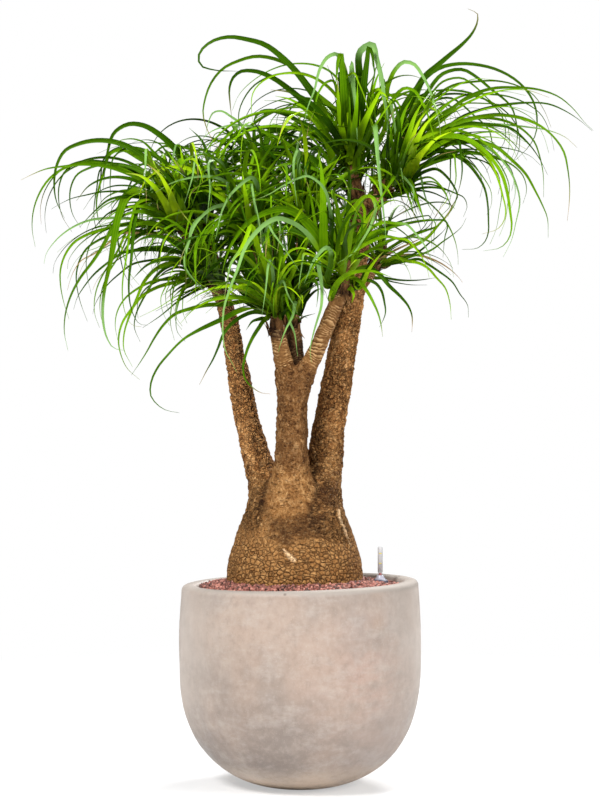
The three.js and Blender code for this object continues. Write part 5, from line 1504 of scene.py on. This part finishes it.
# A leaf's skin: its middle line, its width along it, and a shallow gutter across it that closes
# round the stem at the foot. Eight points round, five above and three below.
def leafSkin(lines, sides, normals, width, fullness, foot, length):
    t = np.linspace(0, 1, lines.shape[1])[None]
    fromRoot = t * length[:, None]
    slender, full = (1 - t) ** 0.8, (1 - t ** 1.6) ** 0.9
    half = width[:, None] / 2 * (slender + (full - slender) * fullness[:, None])
    half = half + (foot[:, None] - width[:, None] / 2) * np.exp(-(fromRoot / leafShape["clasp"]) ** 2)
    half = np.maximum(half, 0.35)
    cup = 0.42 + 0.85 * np.exp(-(fromRoot / (1.3 * leafShape["clasp"])) ** 2)
    across = np.array([1, 0.5, 0, -0.5, -1, -0.5, 0, 0.5])
    below = np.array([0, 0, 0, 0, 0, 0.8, 1, 0.8])
    radius = half / np.sin(cup)
    sideways = radius[..., None] * np.sin(cup[..., None] * across)
    upwards = radius[..., None] * (1 - np.cos(cup[..., None] * across))
    thickness = leafShape["thickness"] * (1 - 0.5 * t)
    upwards = upwards - below * thickness[..., None]
    aside = sideways[..., None] * sides[:, :, None]
    return lines[:, :, None] + aside + upwards[..., None] * normals[:, :, None]


# Turned about the line: cos * side + sin * normal, and cos * normal - sin * side.
def rolled(sides, normals, roll):
    cosine, sine = np.cos(roll)[..., None], np.sin(roll)[..., None]
    return cosine * sides + sine * normals, cosine * normals - sine * sides


# The level direction square to the way from a leaf's foot to its end.
def levelSides(lines):
    flat = (lines[:, -1] - lines[:, 2]) * [1, 1, 0]
    return unit(np.cross([0.0, 0.0, 1.0], flat))


# Leaves by rule: each turned by the golden angle from the one before, and more upright the younger
# it is. Of several tries for a leaf, the first that fits inside the crown is taken.
def ruleLeaves(name, seed):
    random = np.random.default_rng(seed)
    head = leafHeads[name]
    foot, axis, radius = headCore(name)
    side = unit(np.array([0.0, 1.0, 0.0]) - axis[1] * axis)
    normal = np.cross(axis, side)
    count, tries = head["leaves"], leafShape["candidates"]
    order = np.repeat(np.arange(count), tries)
    loosen = 1 + np.tile(np.arange(tries), count) / 4
    youth = order / (count - 1)
    angle = order * np.pi * (3 - 5 ** 0.5) + random.uniform(-0.15, 0.15, len(order)) * loosen
    outward = np.cos(angle)[:, None] * side + np.sin(angle)[:, None] * normal
    lift = 0.22 + 1.15 * youth + random.uniform(-0.16, 0.16, len(order)) * loosen
    taper = 1 - 0.6 * youth
    upStem = (head["core"] * (0.04 + 0.9 * youth))[:, None]
    root = foot + axis * upStem + outward * (radius * taper * 0.85)[:, None]
    length = random.uniform(*head["length"], len(order))
    length = length * (0.72 + 0.28 * np.sin(np.pi * (0.15 + 0.7 * youth))) * (1 - 0.1 * (loosen - 1))
    endSteepness = -random.uniform(0.2, 1.9, len(order))
    power = random.uniform(0.9, 2.4, len(order))
    swing = random.normal(0, 0.7, len(order))
    kink = np.where(random.uniform(0, 1, len(order)) < 0.12, random.uniform(0.3, 0.65, len(order)), 2.0)
    mayStray = np.repeat(random.uniform(0, 1, count) < crown["strayShare"], tries)
    mayFront = np.repeat(random.uniform(0, 1, count) < crown["frontShare"], tries)
    axes = np.broadcast_to(axis, outward.shape)
    lines = archingLines(root, axes, outward, lift, length, endSteepness, power, swing, kink)
    good = insideCrown(lines, mayStray) & clearOfLimbs(lines)
    good &= mayFront | (lines[:, 10:, 1] > foot[1] - 25).all(1)
    good = good.reshape(count, tries)
    chosen = (np.arange(count) * tries + good.argmax(1))[good.any(1)]
    width = head["width"] * random.uniform(0.5, 1.0, len(chosen))
    roll = random.normal(0, 0.6, len(chosen))
    # A kinked leaf is pale past its kink: a waxy bloom with a painted sheen.
    pale = np.where(kink[chosen] < 1, kink[chosen], 2.0)
    # Leaves behind their head are darker: painted shade.
    behind = smoothStep(foot[1] - 30, foot[1] + 130, lines[chosen, :, 1].mean(1))
    least = head.get("leastTone", 0.0)
    tone = least + (1 - least) * random.uniform(0, 1, len(chosen)) ** 1.1 * (1 - 0.5 * behind)
    print(name, "has", len(chosen), "rule leaves of", count)
    return {
        "lines": lines[chosen], "width": width, "roll": roll, "pale": pale,
        "length": length[chosen], "clasp": radius * taper[chosen] * 0.45, "youth": youth[chosen],
        "tone": tone, "dry": random.uniform(0, 1, len(chosen)),
        "facing": np.zeros(len(chosen)),
    }


# A listed leaf's line: its seen points pushed back to a depth that runs from its head's to its end's. A point
# seen at x, z from the camera at distance d is at x * (d + y) / d, and so on.
def guideLine(name, seen, endDepth):
    foot, axis, radius = headCore(name)
    core = leafHeads[name]["core"]
    place = np.concatenate([[0.0], np.cumsum(np.hypot(*np.diff(seen, axis=0).T))])
    share = smoothStep(-0.15, 0.6, place / place[-1])
    y = foot[1] + (endDepth - foot[1]) * share
    further = (view["distance"] + y) / view["distance"]
    z = view["height"] + (seen[:, 1] - view["height"]) * further
    points = np.stack([seen[:, 0] * further, y, z], -1)
    upright = unit(points[0] - foot) @ axis
    start = foot + axis * core * np.clip(0.1 + 0.6 * upright, 0.08, 0.75)
    outward = points[0] - start
    outward = unit(outward - (outward @ axis) * axis)
    root = start + outward * radius * 0.55
    rise = min(12.0, 0.3 * np.linalg.norm(points[0] - root))
    return smoothPath([root, root + axis * rise + outward * 3, *points], leafShape["rings"])


# The listed leaves, and their sisters: each turned and scaled about the head as it is seen.
def guideLeaves(name, seed):
    random = np.random.default_rng(seed)
    foot, _, radius = headCore(name)
    headX, headZ = frontView(foot)
    rows = []
    for (width, tone, pale, endDepth), *seen in leafGuides.get(name, []):
        seen = np.array(seen, float).reshape(-1, 2)
        rows.append([guideLine(name, seen, endDepth), width, tone, pale])
        for _ in range(crown["sisters"]):
            angle = random.choice([-1, 1]) * random.uniform(0.3, 1.0) * crown["sisterTurn"]
            scale = random.uniform(*crown["sisterScale"])
            away = (seen - [headX, headZ]) * scale * [1, random.uniform(0.85, 1.05)]
            turned = away @ np.array([[np.cos(angle), np.sin(angle)], [-np.sin(angle), np.cos(angle)]])
            depth = max(endDepth, crown["sisterFront"]) + crown["sisterDepth"] * random.uniform(-0.2, 1.4)
            line = guideLine(name, turned + [headX, headZ], depth)
            # Sisters further back are darker: painted shade.
            sisterTone = 0.78 * random.uniform(0, 1) ** 1.2 * (1 - 0.4 * smoothStep(-60, 90, depth))
            sisterWidth = np.clip(width, 7, 14) * random.uniform(0.5, 0.9)
            if insideCrown(line[None], np.array([True]))[0] and clearOfLimbs(line[None])[0]:
                rows.append([line, sisterWidth, sisterTone, 0.0])
    lines = np.array([row[0] for row in rows])
    table = np.array([row[1:] for row in rows], float)
    print(name, "has", len(rows), "leaves placed by hand or like those")
    roll = random.normal(0, 0.18, len(rows))
    dry = random.uniform(0, 1, len(rows))
    return {
        "lines": lines, "width": table[:, 0], "roll": roll,
        "pale": np.where(table[:, 2] > 0, 1 - table[:, 2], 2.0),
        "length": np.linalg.norm(np.diff(lines, axis=1), axis=-1).sum(1),
        "clasp": np.full(len(rows), radius * 0.42), "youth": np.full(len(rows), 0.6),
        "tone": np.maximum(table[:, 1], 0), "dry": np.where(table[:, 1] < 0, 2.0, dry),
        "facing": np.ones(len(rows)),
    }


# Both kinds of a head's leaves.
def gatherLeaves(name, seed):
    guided = guideLeaves(name, seed + 500)
    ruled = ruleLeaves(name, seed)
    return {key: np.concatenate([guided[key], ruled[key]]) for key in guided}


# The foliage's thickness in cubes of the crown: the width of the leaf points in each.
def foliageGrid():
    points = np.concatenate([leaves["lines"].reshape(-1, 3) for leaves in allLeaves.values()])
    widths = np.concatenate([np.repeat(leaves["width"], leafShape["rings"]) for leaves in allLeaves.values()])
    low = points.min(0) - shading["reach"]
    counts = ((points.max(0) + shading["reach"] - low) / shading["cell"]).astype(int) + 1
    cells = ((points - low) / shading["cell"]).astype(int)
    flat = np.ravel_multi_index(cells.T, counts)
    return low, np.bincount(flat, widths, counts.prod()).reshape(counts)


# How deep in the foliage a point is, 0 to 1: 1 - exp(-thickness / depth), where the thickness is
# added up over steps from the point towards the front and towards the top.
def foliageShade(points):
    low, grid = foliageBlocks
    total = np.zeros(points.shape[:-1])
    for way in shading["ways"]:
        for step in np.arange(1.2, shading["steps"]):
            at = points + unit(np.array(way, float)) * shading["cell"] * step
            cell = np.clip((at - low) / shading["cell"], 0, np.array(grid.shape) - 1).astype(int)
            total += grid[cell[..., 0], cell[..., 1], cell[..., 2]]
    return 1 - np.exp(-total / shading["depth"])


# The faces of a number of leaves, each of rings of eight points and a tip.
def leafFaces(count, rings):
    first = (np.arange(count) * (rings * 8 + 1))[:, None, None]
    column = np.arange(8)
    tip = np.stack([(rings - 1) * 8 + column, (rings - 1) * 8 + (column + 1) % 8, np.full(8, rings * 8)], -1)
    footQuads = np.array([[1, 7, 6, 2], [2, 6, 5, 3]])
    footEnds = np.array([[0, 7, 1], [3, 5, 4]])
    quads = (np.concatenate([ringFaces(rings, 8), footQuads])[None] + first).reshape(-1, 4)
    return quads, (np.concatenate([tip, footEnds])[None] + first).reshape(-1, 3)


# A head's leaves as one mesh, with the numbers its material reads.
def makeHead(name, seed):
    leaves = allLeaves[name]
    lines = leaves["lines"]
    count, rings = lines.shape[:2]
    random = np.random.default_rng(seed + 1000)
    t = np.linspace(0, 1, rings)[None]
    tangents, sides, normals = pathFrames(lines, levelSides(lines))
    # A listed leaf turns its face to the camera past its foot.
    facing = unit(np.cross([0.0, -1.0, 0.0], tangents))
    turning = (leaves["facing"][:, None] * smoothStep(0.05, 0.3, t))[..., None]
    sides = unit(sides * (1 - turning) + facing * turning)
    sides = unit(sides - (sides * tangents).sum(-1, keepdims=True) * tangents)
    normals = np.cross(tangents, sides)
    swaying = t * random.uniform(1, 2.5, (count, 1)) + random.uniform(0, 1, (count, 1))
    wave = random.normal(0, 0.25, (count, 1)) * np.sin(2 * np.pi * swaying)
    roll = (leaves["roll"][:, None] + wave) * smoothStep(0.06, 0.35, t)
    sides, normals = rolled(sides, normals, roll)
    fullness = 0.65 + 0.15 * leaves["facing"]
    skins = leafSkin(lines, sides, normals, leaves["width"], fullness, leaves["clasp"], leaves["length"])
    perLeaf = rings * 8 + 1
    ends = lines[:, -1:] + (lines[:, -1:] - lines[:, -2:-1]) * 0.4
    vertices = np.concatenate([skins.reshape(count, -1, 3), ends], axis=1)
    quads, triangles = leafFaces(count, rings)
    plainName = "".join("_" + letter.lower() if letter.isupper() else letter for letter in name)
    mesh = makeMesh("palm_leaves_" + plainName, vertices.reshape(-1, 3) * mm, quads, triangles)
    edges = np.empty(len(mesh.edges) * 2, np.int32)
    mesh.edges.foreach_get("vertices", edges)
    local = edges.reshape(-1, 2) % perLeaf
    margin = ((local % 4 == 0) & (local < rings * 8)).all(1) & (np.abs(local[:, 0] - local[:, 1]) == 8)
    sharp = mesh.attributes.new("sharp_edge", "BOOLEAN", "EDGE")
    sharp.data.foreach_set("value", margin)
    below = np.arange(8) >= 4
    quadUnder = np.tile(np.concatenate([np.tile(below, rings - 1), [False, False]]), count)
    triangleUnder = np.tile(np.concatenate([below, [False, False]]), count)
    setAttribute(mesh, "under", np.concatenate([quadUnder, triangleUnder]), "FACE")
    along = np.append(np.repeat(t[0], 8), 1.0)
    across = np.append(np.tile([1, 0.5, 0, -0.5, -1, -0.5, 0, 0.5], rings), 0.0)
    pale = smoothStep(leaves["pale"][:, None], leaves["pale"][:, None] + 0.08, along[None])
    shade = foliageShade(lines)
    shade = np.concatenate([np.repeat(shade, 8, axis=1), shade[:, -1:]], axis=1)
    looks = {
        "along": np.tile(along, count), "across": np.tile(across, count),
        "tone": np.repeat(leaves["tone"], perLeaf), "age": np.repeat(1 - leaves["youth"], perLeaf),
        "dry": np.repeat(leaves["dry"], perLeaf), "pale": pale, "shade": shade,
    }
    for key, values in looks.items():
        setAttribute(mesh, key, values)
    print(name, "shade", np.percentile(shade, [10, 50, 90]).round(2))
    return addPiece(mesh, leafGreen, replaces=["leaves_" + plainName])


leafLook = {
    "greens": [
        (0.05, (0.006, 0.031, 0.0002)), (0.3, (0.024, 0.086, 0.0004)), (0.6, (0.122, 0.293, 0.0010)),
        (0.85, (0.250, 0.460, 0.0030)), (1.0, (0.42, 0.60, 0.007)),
    ],
    # On this line, the yellow-green for the young part near the foot is partly painted light shining through.
    # On the next, the pale colour is a waxy bloom with a painted sheen and the deepest is painted shade in
    # the foliage.
    "young": (0.30, 0.46, 0.004, 1), "foot": (0.48, 0.52, 0.06, 1), "streak": (0.27, 0.43, 0.006, 1),
    "under": (0.13, 0.27, 0.01, 1), "pale": (0.190, 0.355, 0.105, 1), "deep": (0.003, 0.013, 0.0001, 1),
    "dried": (0.30, 0.19, 0.075, 1),
}


# Green by tone with a little noise. Over it: yellower near the foot, partly painted light shining through;
# streaks by the sine of the place across; paler underneath; pale past a fold, a waxy bloom with a painted
# sheen; painted shade deep in the foliage; brown where dried.
def leafMaterial():
    material, tree, shader, place = newMaterial(
        "leaf", Specular_IOR_Level=0.18, Specular_Tint=(0.48, 0.92, 0.09, 1),
    )
    look = leafLook
    along, across, tone = (attribute(tree, name) for name in ("along", "across", "tone"))
    age, dry, pale, under = (attribute(tree, name) for name in ("age", "dry", "pale", "under"))
    mottle = noise(tree, place, 24.0, 3.0)
    mixed = plus(tree, times(tree, tone, 0.85), times(tree, mottle, 0.3))
    mixed = less(tree, mixed, times(tree, age, 0.12))
    young = times(tree, remap(tree, along, 0.30, 0.02, 0, 0.7), remap(tree, tone, 0.0, 0.6, 0.3, 1.0))
    ripple = maths(tree, "SINE", times(tree, across, 10.0))
    streaks = times(tree, remap(tree, ripple, -0.2, 1.0, 0, 0.25), remap(tree, tone, 0, 0.6, 0.08, 1))
    driedTip = times(tree, remap(tree, along, 0.84, 0.96), remap(tree, dry, 0.75, 0.95))
    colour = layered(tree, ramp(tree, mixed, look["greens"]), [
        (young, look["young"]),
        (remap(tree, along, 0.045, 0.0, 0, 0.5), look["foot"]),
        (streaks, look["streak"]),
        (times(tree, under, 0.15), look["under"]),
        (times(tree, pale, 0.85), look["pale"]),
        (times(tree, attribute(tree, "shade"), 0.70), look["deep"]),
        (maths(tree, "MAXIMUM", driedTip, maths(tree, "GREATER_THAN", dry, 1.5)), look["dried"]),
    ])
    connect(tree, shader, Base_Color=colour, Roughness=remap(tree, mottle, 0.3, 0.7, 0.38, 0.5))
    return material


# Torn brown sheaths of old leaves round each stem just under its green ones.
sheaths = {
    "count": 20, "rings": 7, "length": [14, 34], "width": [6, 13], "seed": 71,
    "trunkTop": [136, 45, 1199, 26],  # x, y, z and radius of the fork that has some too
}


def makeSheaths():
    random = np.random.default_rng(sheaths["seed"])
    ends = [headCore(name) for name in leafHeads]
    top = np.array(sheaths["trunkTop"], float)
    ends.append((top[:3], np.array([0.0, 0.0, 1.0]), top[3]))
    count, rings = sheaths["count"] * len(ends), sheaths["rings"]
    foot, axis = (np.repeat([end[i] for end in ends], sheaths["count"], axis=0) for i in (0, 1))
    radius = np.repeat([end[2] for end in ends], sheaths["count"])[:, None]
    angle = random.uniform(0, 2 * np.pi, (count, 1))
    side = unit(np.cross(axis, [0.0, 1.0, 0.0]))
    outward = np.cos(angle) * side + np.sin(angle) * np.cross(axis, side)
    length = random.uniform(*sheaths["length"], (count, 1))
    root = foot + axis * random.uniform(-12, 9, (count, 1)) + outward * radius * 0.98
    t = np.linspace(0, 1, rings)[None, :, None]
    away = random.uniform(0.05, 0.45, (count, 1))[:, None] * t ** 1.6
    up = t * np.where(random.uniform(0, 1, (count, 1)) < 0.25, -0.7, 0.9)[:, None]
    lines = root[:, None] + length[:, None] * (axis[:, None] * up + outward[:, None] * (away + 0.06))
    _, sides, normals = pathFrames(lines, np.cross(outward, axis))
    width = random.uniform(*sheaths["width"], count)
    skins = leafSkin(lines, sides, normals, width, np.full(count, 0.7), width / 2, length[:, 0])
    vertices = np.concatenate([skins.reshape(count, -1, 3), lines[:, -1:] + outward[:, None] * 0.5], axis=1)
    mesh = makeMesh("dry_sheaths", vertices.reshape(-1, 3) * mm, *leafFaces(count, rings))
    along = np.append(np.repeat(t[0, :, 0], 8), 1.0)
    setAttribute(mesh, "ridge", np.tile(0.1 + 0.7 * along, count))
    setAttribute(mesh, "tone", np.tile(along, count))
    setAttribute(mesh, "dark", np.repeat(random.uniform(0.1, 0.9, count), rings * 8 + 1))
    return addPiece(mesh, youngBark)


# The stem tips that the leaves wrap.
def makeStemTips():
    parts = []
    for name, head in leafHeads.items():
        foot, axis, radius = headCore(name)
        end = foot + axis * head["core"]
        path = [[*(foot - axis * 4), radius * 0.9], [*(foot + axis * 9), radius * 0.96],
                [*(foot + end) / 2, radius * 0.6], [*end, radius * 0.3]]
        spine, _, around = limbRings(path, 18, 16)
        skin = spine[:, None, :3] + around * spine[:, None, 3:]
        parts.append(closedRings(skin, spine[0, :3], spine[-1, :3] + axis * 2))
    mesh = joinParts("stem_tips", parts)
    for key, value in (("ridge", 0.35), ("tone", 0.4), ("dark", 0.3)):
        setAttribute(mesh, key, np.full(len(mesh.vertices), value))
    return addPiece(mesh, youngBark)


leafGreen = leafMaterial()
allLeaves = {name: gatherLeaves(name, 900 + number) for number, name in enumerate(leafHeads)}
foliageBlocks = foliageGrid()
for number, headName in enumerate(leafHeads):
    makeHead(headName, 900 + number)
makeStemTips()
makeSheaths()
print("leaves made")


# Water gauge

gauge = {
    "foot": 92, "shaftRadius": 8, "capHeight": 416, "capRadius": 16.7, "neckRadius": 7, "neckHeight": 432,
    "seat": 427, "windowRadius": 5.2, "windowBore": 4.2, "windowTop": 491.5,
    "milkyFrom": [0.4375, 0.4395], "milky": [0.15, 0.74],  # heights in metres, opacity below and above
    "markHeights": [457, 478], "markTurn": 0.55, "markHalf": 1.1,
    "floatRadius": 5.4, "floatHeight": 46, "rodRadius": 1.5, "tipRadius": 3.3, "tipHeight": 437.5,
    "segments": 40,
}


# A plain plastic, a fifth darker in its clouds.
def plasticMaterial(name, colour, roughness, **values):
    material, tree, shader, place = newMaterial(name, **values)
    weathered = weather(tree, place, 90.0, 800.0, 0.2)
    worn = remap(tree, weathered["Clouds"], 0.35, 0.7, 0, 0.35)
    darker = (*[share * 0.8 for share in colour], 1)
    dullness = remap(tree, weathered["Clouds"], 0.3, 0.7, roughness - 0.08, roughness + 0.08)
    connect(tree, shader, Base_Color=mixColour(tree, worn, (*colour, 1), darker), Roughness=dullness,
            Normal=bump(tree, weathered["Grain"], 0.0002, 0.3))
    return material


# A short curved bar on the front of the tube: a small rectangle turned through a part of a circle.
def markMesh(name, height):
    outer, inner = gauge["windowRadius"] + 0.15, gauge["windowRadius"] - 0.35
    low, high = height - gauge["markHalf"], height + gauge["markHalf"]
    angle = np.linspace(-np.pi / 2 - gauge["markTurn"], -np.pi / 2 + gauge["markTurn"], 9)
    radius, level = np.array([[inner, low], [outer, low], [outer, high], [inner, high]], float).T
    x = gaugePlace[0] + radius[None] * np.cos(angle)[:, None]
    y = gaugePlace[1] + radius[None] * np.sin(angle)[:, None]
    rings = np.stack([x, y, np.broadcast_to(level, x.shape)], -1)[:, ::-1]
    vertices, quads, fans = closedRings(rings, rings[0].mean(0), rings[-1].mean(0))
    return makeMesh(name, vertices * mm, quads, fans)


# Housing, foot ring, tube and float are (radius, height) outlines turned about the gauge's line.
def makeGauge():
    g = gauge
    foot, cap, neckTop = g["foot"], g["capHeight"], g["neckHeight"]
    shaft, wide, neck = g["shaftRadius"], g["capRadius"], g["neckRadius"]
    outer, bore, seat, top = g["windowRadius"], g["windowBore"], g["seat"], g["windowTop"]
    housing = [
        [0, foot], [shaft - 1, foot], [shaft, foot + 1], [shaft, cap], [wide - 0.8, cap], [wide, cap + 0.8],
        [wide, cap + 2.6], [wide - 1, cap + 3.6], [neck + 5.2, cap + 6.5], [neck + 2.6, cap + 10],
        [neck + 0.8, cap + 13], [neck, cap + 15], [neck - 0.6, neckTop], [outer + 0.4, neckTop],
        [outer + 0.4, seat - 0.3], [3.6, seat - 0.3], [3.6, seat - 3], [6.2, seat - 6], [6.2, foot + 2],
        [0, foot + 2],
    ]
    mesh = turnedMesh("gauge_cap", housing, g["segments"], gaugePlace)
    grey = plasticMaterial("grey_plastic", (0.46, 0.46, 0.55), 0.3)
    addPiece(mesh, grey, replaces=["gauge_housing"])
    ring = [
        [0, cap - 0.4], [wide + 0.5, cap - 0.4], [wide + 0.6, cap + 3.4], [wide - 1.0, cap + 5.6],
        [wide - 4.2, cap + 7.6], [0, cap + 7.6],
    ]
    dark = plasticMaterial("dark_plastic", (0.06, 0.055, 0.09), 0.45)
    addPiece(turnedMesh("gauge_foot_ring", ring, g["segments"], gaugePlace), dark)
    window = [
        [0, top - 2], [bore - 0.5, top - 2.2], [bore, top - 3], [bore, seat], [outer, seat],
        [outer, top - 1.5], [outer - 0.4, top - 0.6], [outer - 1.2, top], [0, top],
    ]
    clear = plasticMaterial("clear_plastic", (0.66, 0.66, 0.67), 0.35)
    tree = clear.node_tree
    place = addNode(tree, "ShaderNodeTexCoord").outputs["Object"]
    height = addNode(tree, "ShaderNodeSeparateXYZ", {0: place}).outputs[2]
    shader = next(node for node in tree.nodes if node.type == "BSDF_PRINCIPLED")
    connect(tree, shader, Alpha=remap(tree, height, *g["milkyFrom"], *g["milky"]))
    mesh = turnedMesh("gauge_tube", window, g["segments"], gaugePlace)
    addPiece(mesh, clear, replaces=["gauge_window"])
    yellow = plasticMaterial("yellow_marks", (0.75, 0.62, 0.12), 0.5)
    for number, height in enumerate(g["markHeights"]):
        addPiece(markMesh(f"gauge_mark_{number + 1}", height), yellow)
    low = foot + 2.3
    shoulder = low + g["floatHeight"]
    body, rod, tipWide, tip = g["floatRadius"], g["rodRadius"], g["tipRadius"], g["tipHeight"]
    floating = [
        [0, low], [body - 1, low], [body, low + 2], [body, shoulder - 3], [rod, shoulder], [rod, tip - 8],
        [tipWide - 0.4, tip - 8], [tipWide, tip - 7.5], [tipWide, tip - 1.2], [tipWide - 0.7, tip - 0.3],
        [0, tip],
    ]
    red = plasticMaterial("red_plastic", (0.38, 0.022, 0.010), 0.5)
    mesh = turnedMesh("float_rod", floating, g["segments"], gaugePlace)
    addPiece(mesh, red, body="gauge_float", replaces=["gauge_float"])


makeGauge()
print("gauge made")


# Studio: a pale floor that fades to the white round it, and soft lights

studio = {
    "floorMiddle": 0.05, "floorRadius": 40, "floorRings": 40, "floorSides": 96, "floorDrop": 0.0004,
    "fadeStart": 0.5, "fadeEnd": 2.4, "ambient": 0.24, "floorShade": 0.26,
    "shadowCut": 0.45,  # how much of the shadow on the floor the camera does not see
    "lights": {  # place, size in metres, watts
        "key": [(-2.0, -3.0, 3.6), 1.4, 255],
        "fill": [(2.9, -2.8, 2.2), 2.0, 120],
        "back": [(1.6, 2.8, 3.4), 1.6, 190],
    },
    "aim": (0.0, 0.0, 0.95),
}


# The floor is a disc whose rings grow by the same share each. It goes over to plain white with the
# distance, and to the camera the world is white too.
def makeStudio():
    rows, columns = studio["floorRings"], studio["floorSides"]
    radii = np.geomspace(studio["floorMiddle"], studio["floorRadius"], rows) * 1000
    floorRings = turnedRings(np.stack([radii, np.zeros(rows)], -1), columns)
    vertices = np.concatenate([floorRings.reshape(-1, 3), [[0, 0, 0]]]) * mm
    vertices[:, 2] -= studio["floorDrop"]
    column = np.arange(columns)
    centreFan = np.stack([np.full(columns, len(vertices) - 1), column, (column + 1) % columns], -1)
    mesh = makeMesh("floor", vertices, ringFaces(rows, columns)[:, ::-1], centreFan)
    material, tree, shader, place = newMaterial("pale_floor", Roughness=0.8, Base_Color=(0.9, 0.9, 0.9, 1))
    away = addNode(tree, "ShaderNodeVectorMath", {0: place}, operation="LENGTH").outputs["Value"]
    fade = remap(tree, away, studio["fadeStart"], studio["fadeEnd"])
    seen = addNode(tree, "ShaderNodeLightPath").outputs["Is Camera Ray"]
    fade = maths(tree, "MAXIMUM", fade, times(tree, seen, studio["shadowCut"]))
    strength = remap(tree, seen, 0, 1, studio["floorShade"], 1.0)
    glow = addNode(tree, "ShaderNodeEmission", {"Color": (1, 1, 1, 1), "Strength": strength})
    mixed = addNode(tree, "ShaderNodeMixShader", {0: fade, 1: shader.outputs[0], 2: glow.outputs[0]})
    output = next(node for node in tree.nodes if node.type == "OUTPUT_MATERIAL")
    tree.links.new(mixed.outputs[0], output.inputs[0])
    floor = bpy.data.objects.new("floor", mesh)
    mesh.materials.append(material)
    bpy.context.scene.collection.objects.link(floor)
    for name, (place, size, watts) in studio["lights"].items():
        lamp = bpy.data.lights.new(name, "AREA")
        lamp.shape = "DISK"
        lamp.size = size
        lamp.energy = watts
        light = bpy.data.objects.new(name, lamp)
        light.location = place
        towards = np.array(studio["aim"]) - np.array(place)
        light.rotation_euler = (np.arccos(-towards[2] / np.linalg.norm(towards)), 0,
                                np.arctan2(towards[1], towards[0]) - np.pi / 2)
        bpy.context.scene.collection.objects.link(light)
    world = bpy.data.worlds.new("world")
    world.use_nodes = True
    bpy.context.scene.world = world
    tree = world.node_tree
    tree.nodes.clear()
    seen = addNode(tree, "ShaderNodeLightPath").outputs["Is Camera Ray"]
    strength = remap(tree, seen, 0, 1, studio["ambient"], 1.0)
    sky = addNode(tree, "ShaderNodeBackground", {"Color": (1, 1, 1, 1), "Strength": strength})
    addNode(tree, "ShaderNodeOutputWorld", {"Surface": sky.outputs[0]})
    bpy.context.scene.view_settings.view_transform = "Standard"


makeStudio()
print("studio made")
